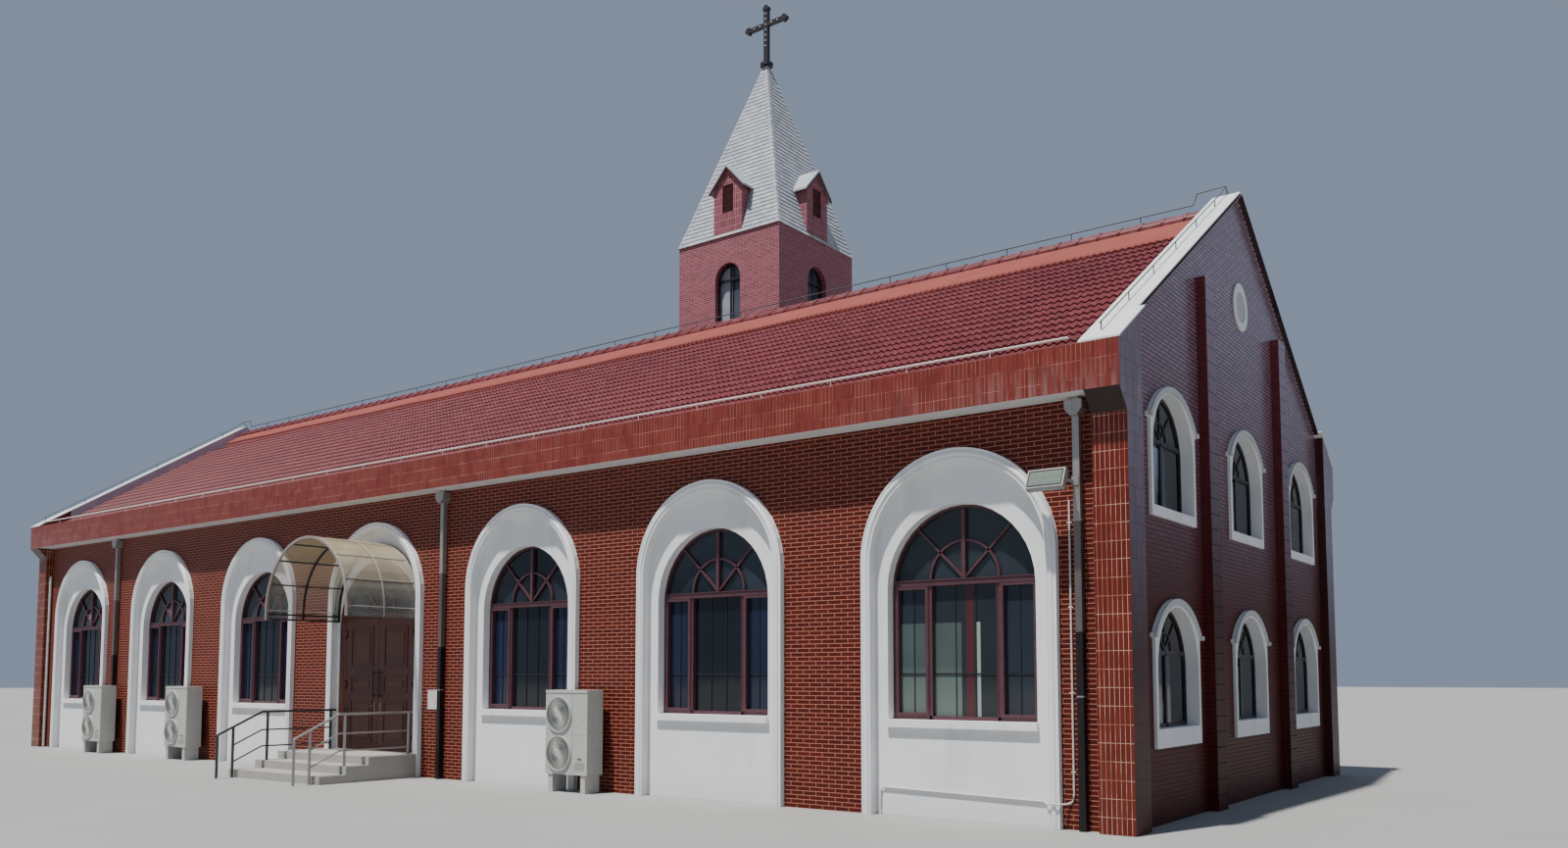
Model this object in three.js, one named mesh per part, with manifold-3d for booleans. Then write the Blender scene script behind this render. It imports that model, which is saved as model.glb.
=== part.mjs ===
// A brick church with a round-arched nave, a canopied door, a gabled tile roof and a
// square bell tower with a shingled spire. Millimetres, +Z up, front towards -Y.
// Inside this file Y is 0 on the front wall's brick face and Z is 0 on the ground.
import * as THREE from "three";
import { mergeVertices } from "three/addons/utils/BufferGeometryUtils.js";
import Module from "manifold-3d";

const wasm = await Module();
wasm.setup();

// Running gap between pieces that touch.
const GAP = 0.3;

// Plan of the nave.
const HALF_LENGTH = 17330;
const NAVE_DEPTH = 12030;
const MIDDLE_Y = NAVE_DEPTH / 2;
const WALL = 300;
const BRICK_X = 17170;
const GABLE_INNER_X = BRICK_X - WALL;
const PIER_LENGTH = 510;
const PIER_DEPTH = 610;
const PIER_PROUD = 180;
const PIER_X = HALF_LENGTH - PIER_LENGTH;
const PIER_Y = PIER_DEPTH - PIER_PROUD;

// Heights of the nave.
const FLOOR_Z = 490;
const SOFFIT_Z = 6063;
const KNEELER_Z = 5770;
const FASCIA_TOP_Z = 6730;
const FASCIA_OUT = 450;
const FASCIA_BOARD = 100;

// Roof: a slope of about 33 degrees on both sides of the ridge.
const ROOF_SLOPE = 0.645;
const RIDGE_Z = 10600;
const ROOF_THICK = 160;
const EAVE_OUT = 150;
const RIDGE_CAP_HALF = 200;
const RIDGE_CAP_TOP = 10700;

// Gable parapet: a thin coping sheet that follows the roof's slope from the fascia's top,
// wider over the corner piers than over the brickwork between them.
const COPING_APEX_Z = FASCIA_TOP_Z + ROOF_SLOPE * (MIDDLE_Y + FASCIA_OUT);
const COPING_THICK = 28;
const COPING_INNER_X = 16750;
const COPING_OUTER_X = 17250;
const COPING_PIER_X = 17350;
const COPING_PIER_Y = 570;
const VERGE = { out: 110, height: 40 };

// Bays of the long walls.
const BAY = 4860;
const BAYS_EACH_SIDE = 3;
const WINDOW = { half: 1250, sill: 1466, spring: 3493 };
const SURROUND = { half: 1640, apex: 5568, ring: 165, ringOut: 90, recess: 70 };
const SILL = { half: 1265, height: 115, front: 5 };

// Doorway, its frame and its two leaves.
const DOORWAY = { half: 1500, spring: 3243 };
const DOOR_SURROUND_HALF = 1720;
const FRAME = { front: 100, back: 200, width: 250, transomLow: 3450, transomHigh: 3555 };
const LEAF = { thick: 60, gap: 6, meeting: 12, bottom: 500, top: 3443 };
const HINGE = { radius: 12, stand: 20, plateIn: 5, plateOut: 46, plateHalf: 4, leafLong: 90, frameLong: 60 };
const HINGE_HEIGHTS = [800, 1950, 3100];
const PULL = { x: 110, low: 1640, high: 2280, radius: 16, stand: 60 };

// Landing, two treads below it, and the pipe rails beside them.
const STEPS_HALF = 1700;
const STEP_FRONTS = [1250, 1770, 2360];
const RAIL_X = 1450;
const RAIL = { radius: 25, post: 28, barRadius: 16, level: 1370, turn: 1780, end: 900, wallEnd: 0 };
const RAIL_BARS = [390, 740];
const RAIL_POSTS = [
  { y: -130, tread: 0 },
  { y: -1650, tread: 1 },
  { y: -2420, tread: 3 },
  { y: -2760, tread: 3 },
];

// Barrel canopy over the door.
const CANOPY = { radius: 1480, tube: 40, foot: 3370, spring: 3585, front: 1750, sheet: 6 };
const CANOPY_PURLINS = [22, 45, 68, 90, 112, 135, 158];
const CANOPY_LOW_PURLIN = 3500;

// Gable windows, pilasters and the blind oculus.
const GABLE = {
  spacing: 3950,
  half: 925,
  outer: 1015,
  faceOut: 50,
  hoodOut: 80,
  hoodHalf: 1050,
  hoodRise: 550,
  hoodWide: 100,
  stop: 55,
};
const GABLE_ROWS = [
  { bottom: 1093, sill: 1370, spring: 2240, hood: 3295 },
  { bottom: 4477, sill: 4630, spring: 5490, hood: 6516 },
];
const PILASTER = { offset: 2286, half: 243, top: 8650, out: 160 };
const OCULUS = { z: 8785, outer: 435, inner: 280, out: 30, panelOut: 15 };

// Bell tower, spire, dormers and cross.
const TOWER = { half: 2020, front: 12340, wall: 260, top: 15950 };
const TOWER_BACK = TOWER.front + 2 * TOWER.half;
const TOWER_MIDDLE = TOWER.front + TOWER.half;
const TOWER_WINDOW = { half: 500, sill: 12100, apex: 15080 };
const SPIRE = { half: 2040, apex: 22520, shell: 150 };
const DORMER = { half: 565, roofHalf: 710, apex: 18250, eave: 17480, thick: 70, over: 100, deep: 760 };
const LOUVRE = { half: 220, low: 16720, high: 17610, deep: 80 };
const CROSS = { top: 24450, arm: 870, z: 23770, half: 88, armHalf: 70, thick: 115, foot: 22360 };
const FINIAL = { long: 190, half: 118, stem: 30 };
const COLLAR = { radius: 215, low: 22330, high: 22420 };

// Services on the front wall.
const GLASS = 10;
const AC = { width: 1100, depth: 400, high: 1550, foot: 330, back: 140, block: 120 };
const AC_X = [-12500, -7750, 6750];
const PIPE = { side: 100, off: 20 };
const HOPPER = { side: 260, throat: 5790, low: 5890, high: 6010, out: 200 };
const PIPE_X = [-12330, 2430, 16555];
const LAMP = { x: 16250, z: 4870, width: 560, high: 300, deep: 110, out: 430, arm: 36, armX: 16500 };

// The whole object is centred on its own footprint: from the last rail post to the back dormer.
const FRONT_MOST = RAIL_POSTS[3].y - RAIL.post;
const BACK_MOST = TOWER_BACK + DORMER.over;
const CENTRE_Y = (FRONT_MOST + BACK_MOST) / 2;

const ARC_STEPS = 20;

const MATERIALS = {
  brick: { color: 0x8a3a30, roughness: 0.8 },
  tile: { color: 0x8c4034, roughness: 0.7 },
  gableBrick: { color: 0x4a3038, roughness: 0.8 },
  white: { color: 0xdadcdc, roughness: 0.75 },
  roof: { color: 0x7c2a26, roughness: 0.6 },
  ridge: { color: 0xb0563f, roughness: 0.7 },
  shingle: { color: 0xa9adb4, roughness: 0.8 },
  glass: { color: 0x28343f, roughness: 0.1 },
  wood: { color: 0x42261f, roughness: 0.5 },
  bronze: { color: 0x7b6a58, roughness: 0.4 },
  steel: { color: 0x8c8d90, roughness: 0.35, metalness: 0.9 },
  iron: { color: 0x2c2a30, roughness: 0.6, metalness: 0.6 },
  stone: { color: 0xb9b5ab, roughness: 0.85 },
  cream: { color: 0xd8d6cc, roughness: 0.6 },
};

// A geometry's closed surface as a solid that can be joined and cut.
function solid(geometry) {
  const plain = geometry.clone();
  plain.deleteAttribute("normal");
  plain.deleteAttribute("uv");
  const merged = mergeVertices(plain, 1e-4);
  const vertProperties = new Float32Array(merged.attributes.position.array);
  const triVerts = new Uint32Array(merged.index.array);
  return new wasm.Manifold(new wasm.Mesh({ numProp: 3, vertProperties, triVerts }));
}

function join(...pieces) {
  return pieces.reduce((whole, piece) => whole.add(piece));
}

// A box between two corners.
function box(x0, x1, y0, y1, z0, z1) {
  const geometry = new THREE.BoxGeometry(x1 - x0, y1 - y0, z1 - z0);
  geometry.translate((x0 + x1) / 2, (y0 + y1) / 2, (z0 + z1) / 2);
  return solid(geometry);
}

function shapeOf(points) {
  return new THREE.Shape(points.map(([a, b]) => new THREE.Vector2(a, b)));
}

function extrude(points, long) {
  return new THREE.ExtrudeGeometry(shapeOf(points), { depth: long, bevelEnabled: false });
}

// An outline in X and Z, drawn out along Y.
function alongY(points, y0, y1) {
  const geometry = extrude(points, y1 - y0);
  geometry.applyMatrix4(
    new THREE.Matrix4().makeBasis(
      new THREE.Vector3(1, 0, 0),
      new THREE.Vector3(0, 0, 1),
      new THREE.Vector3(0, -1, 0),
    ),
  );
  geometry.translate(0, y1, 0);
  return solid(geometry);
}

// An outline in Y and Z, drawn out along X.
function alongX(points, x0, x1) {
  const geometry = extrude(points, x1 - x0);
  geometry.applyMatrix4(
    new THREE.Matrix4().makeBasis(
      new THREE.Vector3(0, 1, 0),
      new THREE.Vector3(0, 0, 1),
      new THREE.Vector3(1, 0, 0),
    ),
  );
  geometry.translate(x0, 0, 0);
  return solid(geometry);
}

// A round bar between two points, drawn out past both ends by a little where asked.
function bar(from, to, radius, sides = 10) {
  const start = new THREE.Vector3(...from);
  const end = new THREE.Vector3(...to);
  const geometry = new THREE.CylinderGeometry(radius, radius, start.distanceTo(end), sides);
  const turn = new THREE.Quaternion().setFromUnitVectors(
    new THREE.Vector3(0, 1, 0),
    end.clone().sub(start).normalize(),
  );
  geometry.applyQuaternion(turn);
  const middle = start.clone().add(end).multiplyScalar(0.5);
  geometry.translate(middle.x, middle.y, middle.z);
  return solid(geometry);
}

function arc(centreA, centreB, radius, from, to, steps = ARC_STEPS) {
  const points = [];
  for (let i = 0; i <= steps; i += 1) {
    const angle = from + ((to - from) * i) / steps;
    points.push([centreA + radius * Math.cos(angle), centreB + radius * Math.sin(angle)]);
  }
  return points;
}

// A round-headed outline: straight sides up to the springing and a semicircle above.
function roundHeaded(centre, half, low, spring) {
  return [[centre - half, low], [centre + half, low], ...arc(centre, spring, half, 0, Math.PI)];
}

// A shallow arch through both ends and the crown, as points from right to left.
function shallowArc(centre, half, ends, rise) {
  const radius = (half * half + rise * rise) / (2 * rise);
  const spread = Math.asin(half / radius);
  const low = ends + rise - radius;
  return arc(centre, low, radius, Math.PI / 2 - spread, Math.PI / 2 + spread, 14);
}

const model = new THREE.Group();
model.position.set(0, -CENTRE_Y, 0);

function place(name, piece, look) {
  const data = piece.getMesh();
  const positions = new Float32Array(data.numVert * 3);
  for (let i = 0; i < data.numVert; i += 1) {
    const at = i * data.numProp;
    positions.set(data.vertProperties.subarray(at, at + 3), i * 3);
  }
  const geometry = new THREE.BufferGeometry();
  geometry.setAttribute("position", new THREE.BufferAttribute(positions, 3));
  geometry.setIndex(new THREE.BufferAttribute(new Uint32Array(data.triVerts), 1));
  geometry.computeVertexNormals();
  const mesh = new THREE.Mesh(geometry, new THREE.MeshStandardMaterial(MATERIALS[look]));
  mesh.name = name;
  model.add(mesh);
}

function mirrorX(piece) {
  return piece.mirror([1, 0, 0]);
}

// Turns a piece of the front half round to the back of the nave.
function mirrorY(piece) {
  return piece.translate([0, -MIDDLE_Y, 0]).mirror([0, 1, 0]).translate([0, MIDDLE_Y, 0]);
}

// The line that the coping sheet rests on, from the front edge up to the middle and down.
function copingSeatAt(y, drop) {
  const fromMiddle = Math.abs(MIDDLE_Y - y);
  return COPING_APEX_Z - ROOF_SLOPE * fromMiddle - drop;
}

function copingSeat(from, drop) {
  return [from, MIDDLE_Y, NAVE_DEPTH - from].map((y) => [y, copingSeatAt(y, drop)]);
}

// Everything above the roof's underside, which cuts the tops of the walls.
function aboveRoofUnderside() {
  const low = RIDGE_Z - ROOF_THICK - GAP;
  const reach = 2000;
  const eave = low - ROOF_SLOPE * (MIDDLE_Y + reach);
  const far = HALF_LENGTH + reach;
  const points = [
    [-reach, eave],
    [MIDDLE_Y, low],
    [NAVE_DEPTH + reach, eave],
    [NAVE_DEPTH + reach, RIDGE_Z + reach],
    [-reach, RIDGE_Z + reach],
  ];
  return alongX(points, -far, far);
}

// One bay of the long wall: a round-headed niche with a flat panel at the back of it, and a
// raised ring round its edge.
function bay(wall, centre, half) {
  const spring = SURROUND.apex - half;
  const inner = half - SURROUND.ring;
  const niche = alongY(roundHeaded(centre, inner, -10, spring), -WALL, SURROUND.recess);
  const ring = alongY(roundHeaded(centre, half, 0, spring), -SURROUND.ringOut, WALL / 2);
  return wall.add(ring).subtract(niche);
}

function windowOpening(centre) {
  return alongY(roundHeaded(centre, WINDOW.half, WINDOW.sill, WINDOW.spring), -WALL, 2 * WALL);
}

function windowSill(centre) {
  const low = WINDOW.sill - SILL.height;
  return box(centre - SILL.half, centre + SILL.half, SILL.front, WALL / 2, low, WINDOW.sill);
}

// A long wall with its windows: the bays to one or both sides of the middle one.
function longWall(from, to, centres) {
  let wall = box(from, to, 0, WALL, 0, RIDGE_Z);
  for (const centre of centres) {
    wall = bay(wall, centre, SURROUND.half).add(windowSill(centre));
  }
  for (const centre of centres) wall = wall.subtract(windowOpening(centre));
  return wall.subtract(aboveRoofUnderside());
}

const WINDOW_BAYS = [];
for (let i = 1; i <= BAYS_EACH_SIDE; i += 1) WINDOW_BAYS.push(BAY * i);

function frontWall() {
  const edge = PIER_X - GAP;
  const centres = [...WINDOW_BAYS.map((x) => -x), ...WINDOW_BAYS];
  const doorway = alongY(roundHeaded(0, DOORWAY.half, -10, DOORWAY.spring), -WALL, 2 * WALL);
  const wall = longWall(-edge, edge, centres);
  return bay(wall, 0, DOOR_SURROUND_HALF).subtract(doorway);
}

function frontWalls() {
  const whole = frontWall();
  const cut = DOORWAY.half;
  const half = GAP / 2;
  const far = HALF_LENGTH;
  const left = whole.intersect(box(-far, -cut - half, -WALL, WALL, -1, RIDGE_Z));
  const right = whole.intersect(box(cut + half, far, -WALL, WALL, -1, RIDGE_Z));
  const over = whole.intersect(box(-cut + half, cut - half, -WALL, WALL, -1, RIDGE_Z));
  place("front_wall_left", left, "brick");
  place("front_wall_right", right, "brick");
  place("front_wall_over_door", over, "brick");
}

function backWalls() {
  const wall = mirrorY(longWall(TOWER.half + GAP, PIER_X - GAP, WINDOW_BAYS));
  place("back_wall_right", wall, "brick");
  place("back_wall_left", mirrorX(wall), "brick");
}

// A corner pier with the kneeler that carries the end of the fascia and the coping.
function cornerPier() {
  const outline = [
    [-PIER_PROUD, 0],
    [PIER_Y, 0],
    [PIER_Y, copingSeatAt(PIER_Y, GAP)],
    [-FASCIA_OUT, copingSeatAt(-FASCIA_OUT, GAP)],
    [-FASCIA_OUT, SOFFIT_Z],
    [-PIER_PROUD, KNEELER_Z],
  ];
  return alongX(outline, PIER_X, HALF_LENGTH);
}

function cornerPiers() {
  const pier = cornerPier();
  place("corner_pier_front_right", pier, "tile");
  place("corner_pier_front_left", mirrorX(pier), "tile");
  place("corner_pier_back_right", mirrorY(pier), "tile");
  place("corner_pier_back_left", mirrorX(mirrorY(pier)), "tile");
}

// A gable window's white surround with a shallow hood and its two end stops.
function gableSurround(centre, row) {
  const ends = row.hood - GABLE.hoodRise;
  const inside = BRICK_X - WALL / 2;
  const face = BRICK_X + GABLE.faceOut;
  const hoodFace = BRICK_X + GABLE.hoodOut;
  const top = shallowArc(centre, GABLE.outer, ends, GABLE.hoodRise - 20);
  const panel = alongX(
    [[centre - GABLE.outer, row.bottom], [centre + GABLE.outer, row.bottom], ...top],
    inside,
    face,
  );
  const outer = shallowArc(centre, GABLE.hoodHalf, ends, GABLE.hoodRise);
  const inner = shallowArc(
    centre,
    GABLE.hoodHalf - GABLE.hoodWide,
    ends,
    GABLE.hoodRise - GABLE.hoodWide,
  );
  const hood = alongX([...outer, ...inner.reverse()], inside, hoodFace);
  let whole = panel.add(hood);
  for (const side of [-1, 1]) {
    const at = centre + side * GABLE.hoodHalf;
    const stop = GABLE.stop;
    whole = whole.add(box(inside, hoodFace + 20, at - stop, at + stop, ends - stop, ends + 10));
  }
  return whole;
}

function gableOutline() {
  const near = PIER_Y + GAP;
  const seat = copingSeat(near, GAP).reverse();
  return [[near, 0], [NAVE_DEPTH - near, 0], ...seat];
}

// A band that follows the coping's seat, between two depths below it.
function bandUnderCoping(from, high, low, x0, x1) {
  const top = copingSeat(from, high).reverse();
  return alongX([...copingSeat(from, low), ...top], x0, x1);
}

function gableWall() {
  let wall = alongX(gableOutline(), GABLE_INNER_X, BRICK_X);
  const openings = [];
  for (const row of GABLE_ROWS) {
    for (const step of [-1, 0, 1]) {
      const centre = MIDDLE_Y + step * GABLE.spacing;
      wall = wall.add(gableSurround(centre, row));
      const outline = roundHeaded(centre, GABLE.half, row.sill, row.spring);
      openings.push(alongX(outline, GABLE_INNER_X - WALL, BRICK_X + WALL));
    }
  }
  for (const opening of openings) wall = wall.subtract(opening);
  for (const side of [-1, 1]) {
    const centre = MIDDLE_Y + side * PILASTER.offset;
    const low = centre - PILASTER.half;
    const high = centre + PILASTER.half;
    wall = wall.add(box(GABLE_INNER_X + 50, BRICK_X + PILASTER.out, low, high, 0, PILASTER.top));
  }
  const full = 2 * Math.PI;
  const disc = arc(MIDDLE_Y, OCULUS.z, OCULUS.outer, 0, full, 32).slice(0, -1);
  const hole = arc(MIDDLE_Y, OCULUS.z, OCULUS.inner, 0, full, 32).slice(0, -1);
  const inside = BRICK_X - WALL / 2;
  const ring = alongX(disc, inside, BRICK_X + OCULUS.out);
  const hollow = alongX(hole, BRICK_X + OCULUS.panelOut, BRICK_X + WALL);
  const roofTop = COPING_APEX_Z - RIDGE_Z;
  const near = PIER_Y + GAP;
  const verge = bandUnderCoping(
    COPING_PIER_Y,
    COPING_THICK,
    VERGE.height,
    BRICK_X - 50,
    BRICK_X + VERGE.out,
  );
  const parapet = bandUnderCoping(near, GAP, roofTop - GAP, COPING_INNER_X, GABLE_INNER_X + 50);
  return join(wall, ring.subtract(hollow), verge, parapet);
}

function gableWalls() {
  const wall = gableWall();
  place("gable_wall_right", wall, "gableBrick");
  place("gable_wall_left", mirrorX(wall), "gableBrick");
}

function floorSlab() {
  const inner = GABLE_INNER_X - GAP;
  const slab = box(-inner, inner, WALL + GAP, NAVE_DEPTH - WALL - GAP, 0, FLOOR_Z);
  const doorHalf = DOORWAY.half - GAP;
  const sill = box(-doorHalf, doorHalf, -SURROUND.ringOut, WALL + 1, 0, FLOOR_Z);
  let whole = slab.add(sill);
  const far = HALF_LENGTH + 1;
  for (const [y0, y1] of [[0, PIER_Y + GAP], [NAVE_DEPTH - PIER_Y - GAP, NAVE_DEPTH]]) {
    whole = whole.subtract(box(PIER_X - GAP, far, y0, y1, -1, FLOOR_Z + 1));
    whole = whole.subtract(box(-far, -PIER_X + GAP, y0, y1, -1, FLOOR_Z + 1));
  }
  const nib = TOWER.half + GAP;
  const nibInner = TOWER.half - TOWER.wall - GAP;
  const nibFront = NAVE_DEPTH - WALL - 1;
  for (const [x0, x1] of [[-nib, -nibInner], [nibInner, nib]]) {
    whole = whole.subtract(box(x0, x1, nibFront, NAVE_DEPTH, -1, FLOOR_Z + 1));
  }
  place("nave_floor", whole, "stone");
}

function fasciaOutline() {
  return [
    [-FASCIA_OUT, SOFFIT_Z],
    [-GAP, SOFFIT_Z],
    [-GAP, SOFFIT_Z + FASCIA_BOARD],
    [-FASCIA_OUT + FASCIA_BOARD, SOFFIT_Z + FASCIA_BOARD],
    [-FASCIA_OUT + FASCIA_BOARD, FASCIA_TOP_Z],
    [-FASCIA_OUT, FASCIA_TOP_Z],
  ];
}

function fascias() {
  const edge = PIER_X - GAP;
  place("front_fascia", alongX(fasciaOutline(), -edge, edge), "tile");
  const back = mirrorY(alongX(fasciaOutline(), TOWER.half + GAP, edge));
  place("back_fascia_right", back, "tile");
  place("back_fascia_left", mirrorX(back), "tile");
}

function roofOutline(eave) {
  const drop = ROOF_SLOPE * (MIDDLE_Y - eave);
  return [
    [eave, RIDGE_Z - drop - ROOF_THICK],
    [MIDDLE_Y - GAP / 2, RIDGE_Z - ROOF_THICK],
    [MIDDLE_Y - GAP / 2, RIDGE_Z],
    [eave, RIDGE_Z - drop],
  ];
}

function roofs() {
  const inner = GABLE_INNER_X - GAP;
  const far = HALF_LENGTH + 1;
  const pierCut = PIER_X - GAP;
  const notch = box(pierCut, far, -2 * FASCIA_OUT, PIER_Y + GAP, 0, RIDGE_Z);
  const slab = alongX(roofOutline(-EAVE_OUT), -inner, inner);
  const front = slab.subtract(notch).subtract(mirrorX(notch));
  place("roof_front", front, "roof");
  const eave = NAVE_DEPTH - TOWER.front + GAP;
  const lip = alongX(roofOutline(eave), -TOWER.half, TOWER.half);
  const back = mirrorY(front.add(lip));
  place("roof_back", back, "roof");
  const side = RIDGE_CAP_HALF;
  const low = RIDGE_Z - ROOF_SLOPE * side + GAP;
  const outline = [
    [MIDDLE_Y - side, low],
    [MIDDLE_Y, RIDGE_Z + GAP],
    [MIDDLE_Y + side, low],
    [MIDDLE_Y + side, low + 50],
    ...arc(MIDDLE_Y, RIDGE_CAP_TOP - 120, 120, 0.2, Math.PI - 0.2, 8),
    [MIDDLE_Y - side, low + 50],
  ];
  const capEnd = COPING_INNER_X - GAP;
  place("ridge_cap", alongX(outline, -capEnd, capEnd), "ridge");
}

function copings() {
  const sheet = (from, to, outer) => {
    const line = [[from, copingSeatAt(from, 0)], [to, copingSeatAt(to, 0)]];
    if (to > MIDDLE_Y) line.splice(1, 0, [MIDDLE_Y, COPING_APEX_Z]);
    const top = line.map(([y, z]) => [y, z + COPING_THICK]).reverse();
    return alongX([...line, ...top], COPING_INNER_X, outer);
  };
  const whole = sheet(-FASCIA_OUT, NAVE_DEPTH + FASCIA_OUT, COPING_OUTER_X);
  const foot = sheet(-FASCIA_OUT, COPING_PIER_Y, COPING_PIER_X);
  const coping = join(whole, foot, mirrorY(foot));
  place("gable_coping_right", coping, "white");
  place("gable_coping_left", mirrorX(coping), "white");
}

// A dormer's brick gable: the outline under its two roof slabs, around the given centre.
function dormerOutline(centre, gap) {
  const slope = (DORMER.apex - DORMER.eave) / DORMER.roofHalf;
  const apex = DORMER.apex - DORMER.thick - gap;
  const shoulder = apex - slope * DORMER.half;
  return [
    [centre - DORMER.half, TOWER.top - 100],
    [centre + DORMER.half, TOWER.top - 100],
    [centre + DORMER.half, shoulder],
    [centre, apex],
    [centre - DORMER.half, shoulder],
  ];
}

function dormerRoofOutline(centre) {
  const thick = DORMER.thick;
  return [
    [centre - DORMER.roofHalf, DORMER.eave],
    [centre - DORMER.roofHalf, DORMER.eave - thick],
    [centre, DORMER.apex - thick],
    [centre + DORMER.roofHalf, DORMER.eave - thick],
    [centre + DORMER.roofHalf, DORMER.eave],
    [centre, DORMER.apex],
  ];
}

function towerOpening(centre) {
  const spring = TOWER_WINDOW.apex - TOWER_WINDOW.half;
  return roundHeaded(centre, TOWER_WINDOW.half, TOWER_WINDOW.sill, spring);
}

function louvreOutline(centre) {
  return [
    [centre - LOUVRE.half, LOUVRE.low],
    [centre + LOUVRE.half, LOUVRE.low],
    [centre + LOUVRE.half, LOUVRE.high],
    [centre - LOUVRE.half, LOUVRE.high],
  ];
}

function towerWalls() {
  const inner = TOWER.half - TOWER.wall;
  const { front, wall, top } = TOWER;
  const slab = box(-inner + GAP, inner - GAP, front, front + wall, 0, top);
  const gable = alongY(dormerOutline(0, GAP), front, front + DORMER.deep);
  const opening = alongY(towerOpening(0), front - wall, front + 2 * wall);
  const louvre = alongY(louvreOutline(0), front - wall, front + LOUVRE.deep);
  const frontWallSolid = slab.add(gable).subtract(opening).subtract(louvre);
  place("tower_wall_front", frontWallSolid, "brick");
  const toBack = (piece) =>
    piece.translate([0, -TOWER_MIDDLE, 0]).mirror([0, 1, 0]).translate([0, TOWER_MIDDLE, 0]);
  place("tower_wall_back", toBack(frontWallSolid), "brick");

  const side = box(inner, TOWER.half, front, TOWER_BACK, 0, top);
  const nib = box(inner, TOWER.half, NAVE_DEPTH - WALL, front + 1, 0, RIDGE_Z);
  const sideGable = alongX(
    dormerOutline(TOWER_MIDDLE, GAP),
    TOWER.half - DORMER.deep,
    TOWER.half,
  );
  const sideOpening = alongX(towerOpening(TOWER_MIDDLE), inner - wall, TOWER.half + wall);
  const sideLouvre = alongX(
    louvreOutline(TOWER_MIDDLE),
    TOWER.half - LOUVRE.deep,
    TOWER.half + wall,
  );
  const nibCut = nib.subtract(aboveRoofUnderside());
  const rightWall = join(side, nibCut, sideGable).subtract(sideOpening).subtract(sideLouvre);
  place("tower_wall_right", rightWall, "brick");
  place("tower_wall_left", mirrorX(rightWall), "brick");
}

// A square pyramid on the tower's centre, as a four-sided cone turned by an eighth.
function pyramid(half, low, apex) {
  const geometry = new THREE.ConeGeometry(half * Math.SQRT2, apex - low, 4);
  geometry.rotateX(Math.PI / 2);
  geometry.rotateZ(Math.PI / 4);
  geometry.translate(0, TOWER_MIDDLE, (apex + low) / 2);
  return solid(geometry);
}

function quarterTurns(piece) {
  const turns = [];
  for (let i = 0; i < 4; i += 1) {
    const centred = piece.translate([0, -TOWER_MIDDLE, 0]).rotate([0, 0, 90 * i]);
    turns.push(centred.translate([0, TOWER_MIDDLE, 0]));
  }
  return turns;
}

function spire() {
  const low = TOWER.top + GAP;
  const outer = pyramid(SPIRE.half, low, SPIRE.apex);
  const drop = (SPIRE.shell * (SPIRE.apex - low)) / SPIRE.half;
  const inner = pyramid(SPIRE.half - SPIRE.shell, low - 1, SPIRE.apex - drop);
  let shell = outer.subtract(inner);
  const { front } = TOWER;
  const roof = alongY(dormerRoofOutline(0), front - DORMER.over, front + DORMER.deep);
  for (const turned of quarterTurns(roof)) shell = shell.add(turned);
  const clear = dormerOutline(0, 0).map(([x, z]) => [x + Math.sign(x) * GAP, z]);
  const cut = alongY(clear, front - 2 * DORMER.over, front + DORMER.deep + GAP);
  for (const turned of quarterTurns(cut)) shell = shell.subtract(turned);
  place("spire", shell, "shingle");
}

// A bud-shaped finial in the plane of the cross, on the end of a bar that points along (x, z).
function finial(x, z, wayX, wayZ) {
  const { long, half, stem } = FINIAL;
  const neck = [[-long, CROSS.armHalf], [-long, half - 18], [stem - long, half]];
  const side = [...neck, [-95, half - 10], [-40, 66], [-9, 26]];
  const whole = [...side, [0, 0], ...side.map(([u, v]) => [u, -v]).reverse()];
  const outline = whole.map(([u, v]) => [x + u * wayX - v * wayZ, z + u * wayZ + v * wayX]);
  const reach = CROSS.thick / 2 + 15;
  return alongY(outline, TOWER_MIDDLE - reach, TOWER_MIDDLE + reach);
}

function cross() {
  const { top, arm, z, half, armHalf, thick, foot } = CROSS;
  const y0 = TOWER_MIDDLE - thick / 2;
  const y1 = TOWER_MIDDLE + thick / 2;
  const upright = box(-half, half, y0, y1, foot, top - FINIAL.long + 10);
  const reach = arm - FINIAL.long + 10;
  const beam = box(-reach, reach, y0, y1, z - armHalf, z + armHalf);
  const finials = [finial(-arm, z, -1, 0), finial(arm, z, 1, 0), finial(0, top, 0, 1)];
  const at = [0, TOWER_MIDDLE];
  const collar = bar([...at, COLLAR.low], [...at, COLLAR.high], COLLAR.radius, 20);
  const point = pyramid(SPIRE.half, TOWER.top + GAP, SPIRE.apex).translate([0, 0, GAP]);
  place("cross", join(upright, beam, ...finials, collar).subtract(point), "iron");
}

// The doorway's frame: jambs, transom and round head, with the fixed halves of the hinges.
function doorFrame() {
  const { front, back, width, transomLow, transomHigh } = FRAME;
  const half = DOORWAY.half - GAP;
  const clear = DOORWAY.half - width;
  const body = alongY(roundHeaded(0, half, FLOOR_Z + GAP, DOORWAY.spring), front, back);
  const doorHole = box(-clear, clear, front - 1, back + 1, 0, transomLow);
  const fan = alongY(roundHeaded(0, clear, transomHigh - 400, DOORWAY.spring), front - 1, back + 1);
  const under = box(-half, half, front - 2, back + 2, 0, transomHigh);
  let frame = body.subtract(doorHole).subtract(fan.subtract(under));
  for (const side of [-1, 1]) {
    for (const height of HINGE_HEIGHTS) frame = frame.add(fixedHinge(side, height));
  }
  return frame;
}

function hingeAxis(side) {
  return [side * (DOORWAY.half - FRAME.width - LEAF.gap / 2), FRAME.front - HINGE.stand];
}

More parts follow.
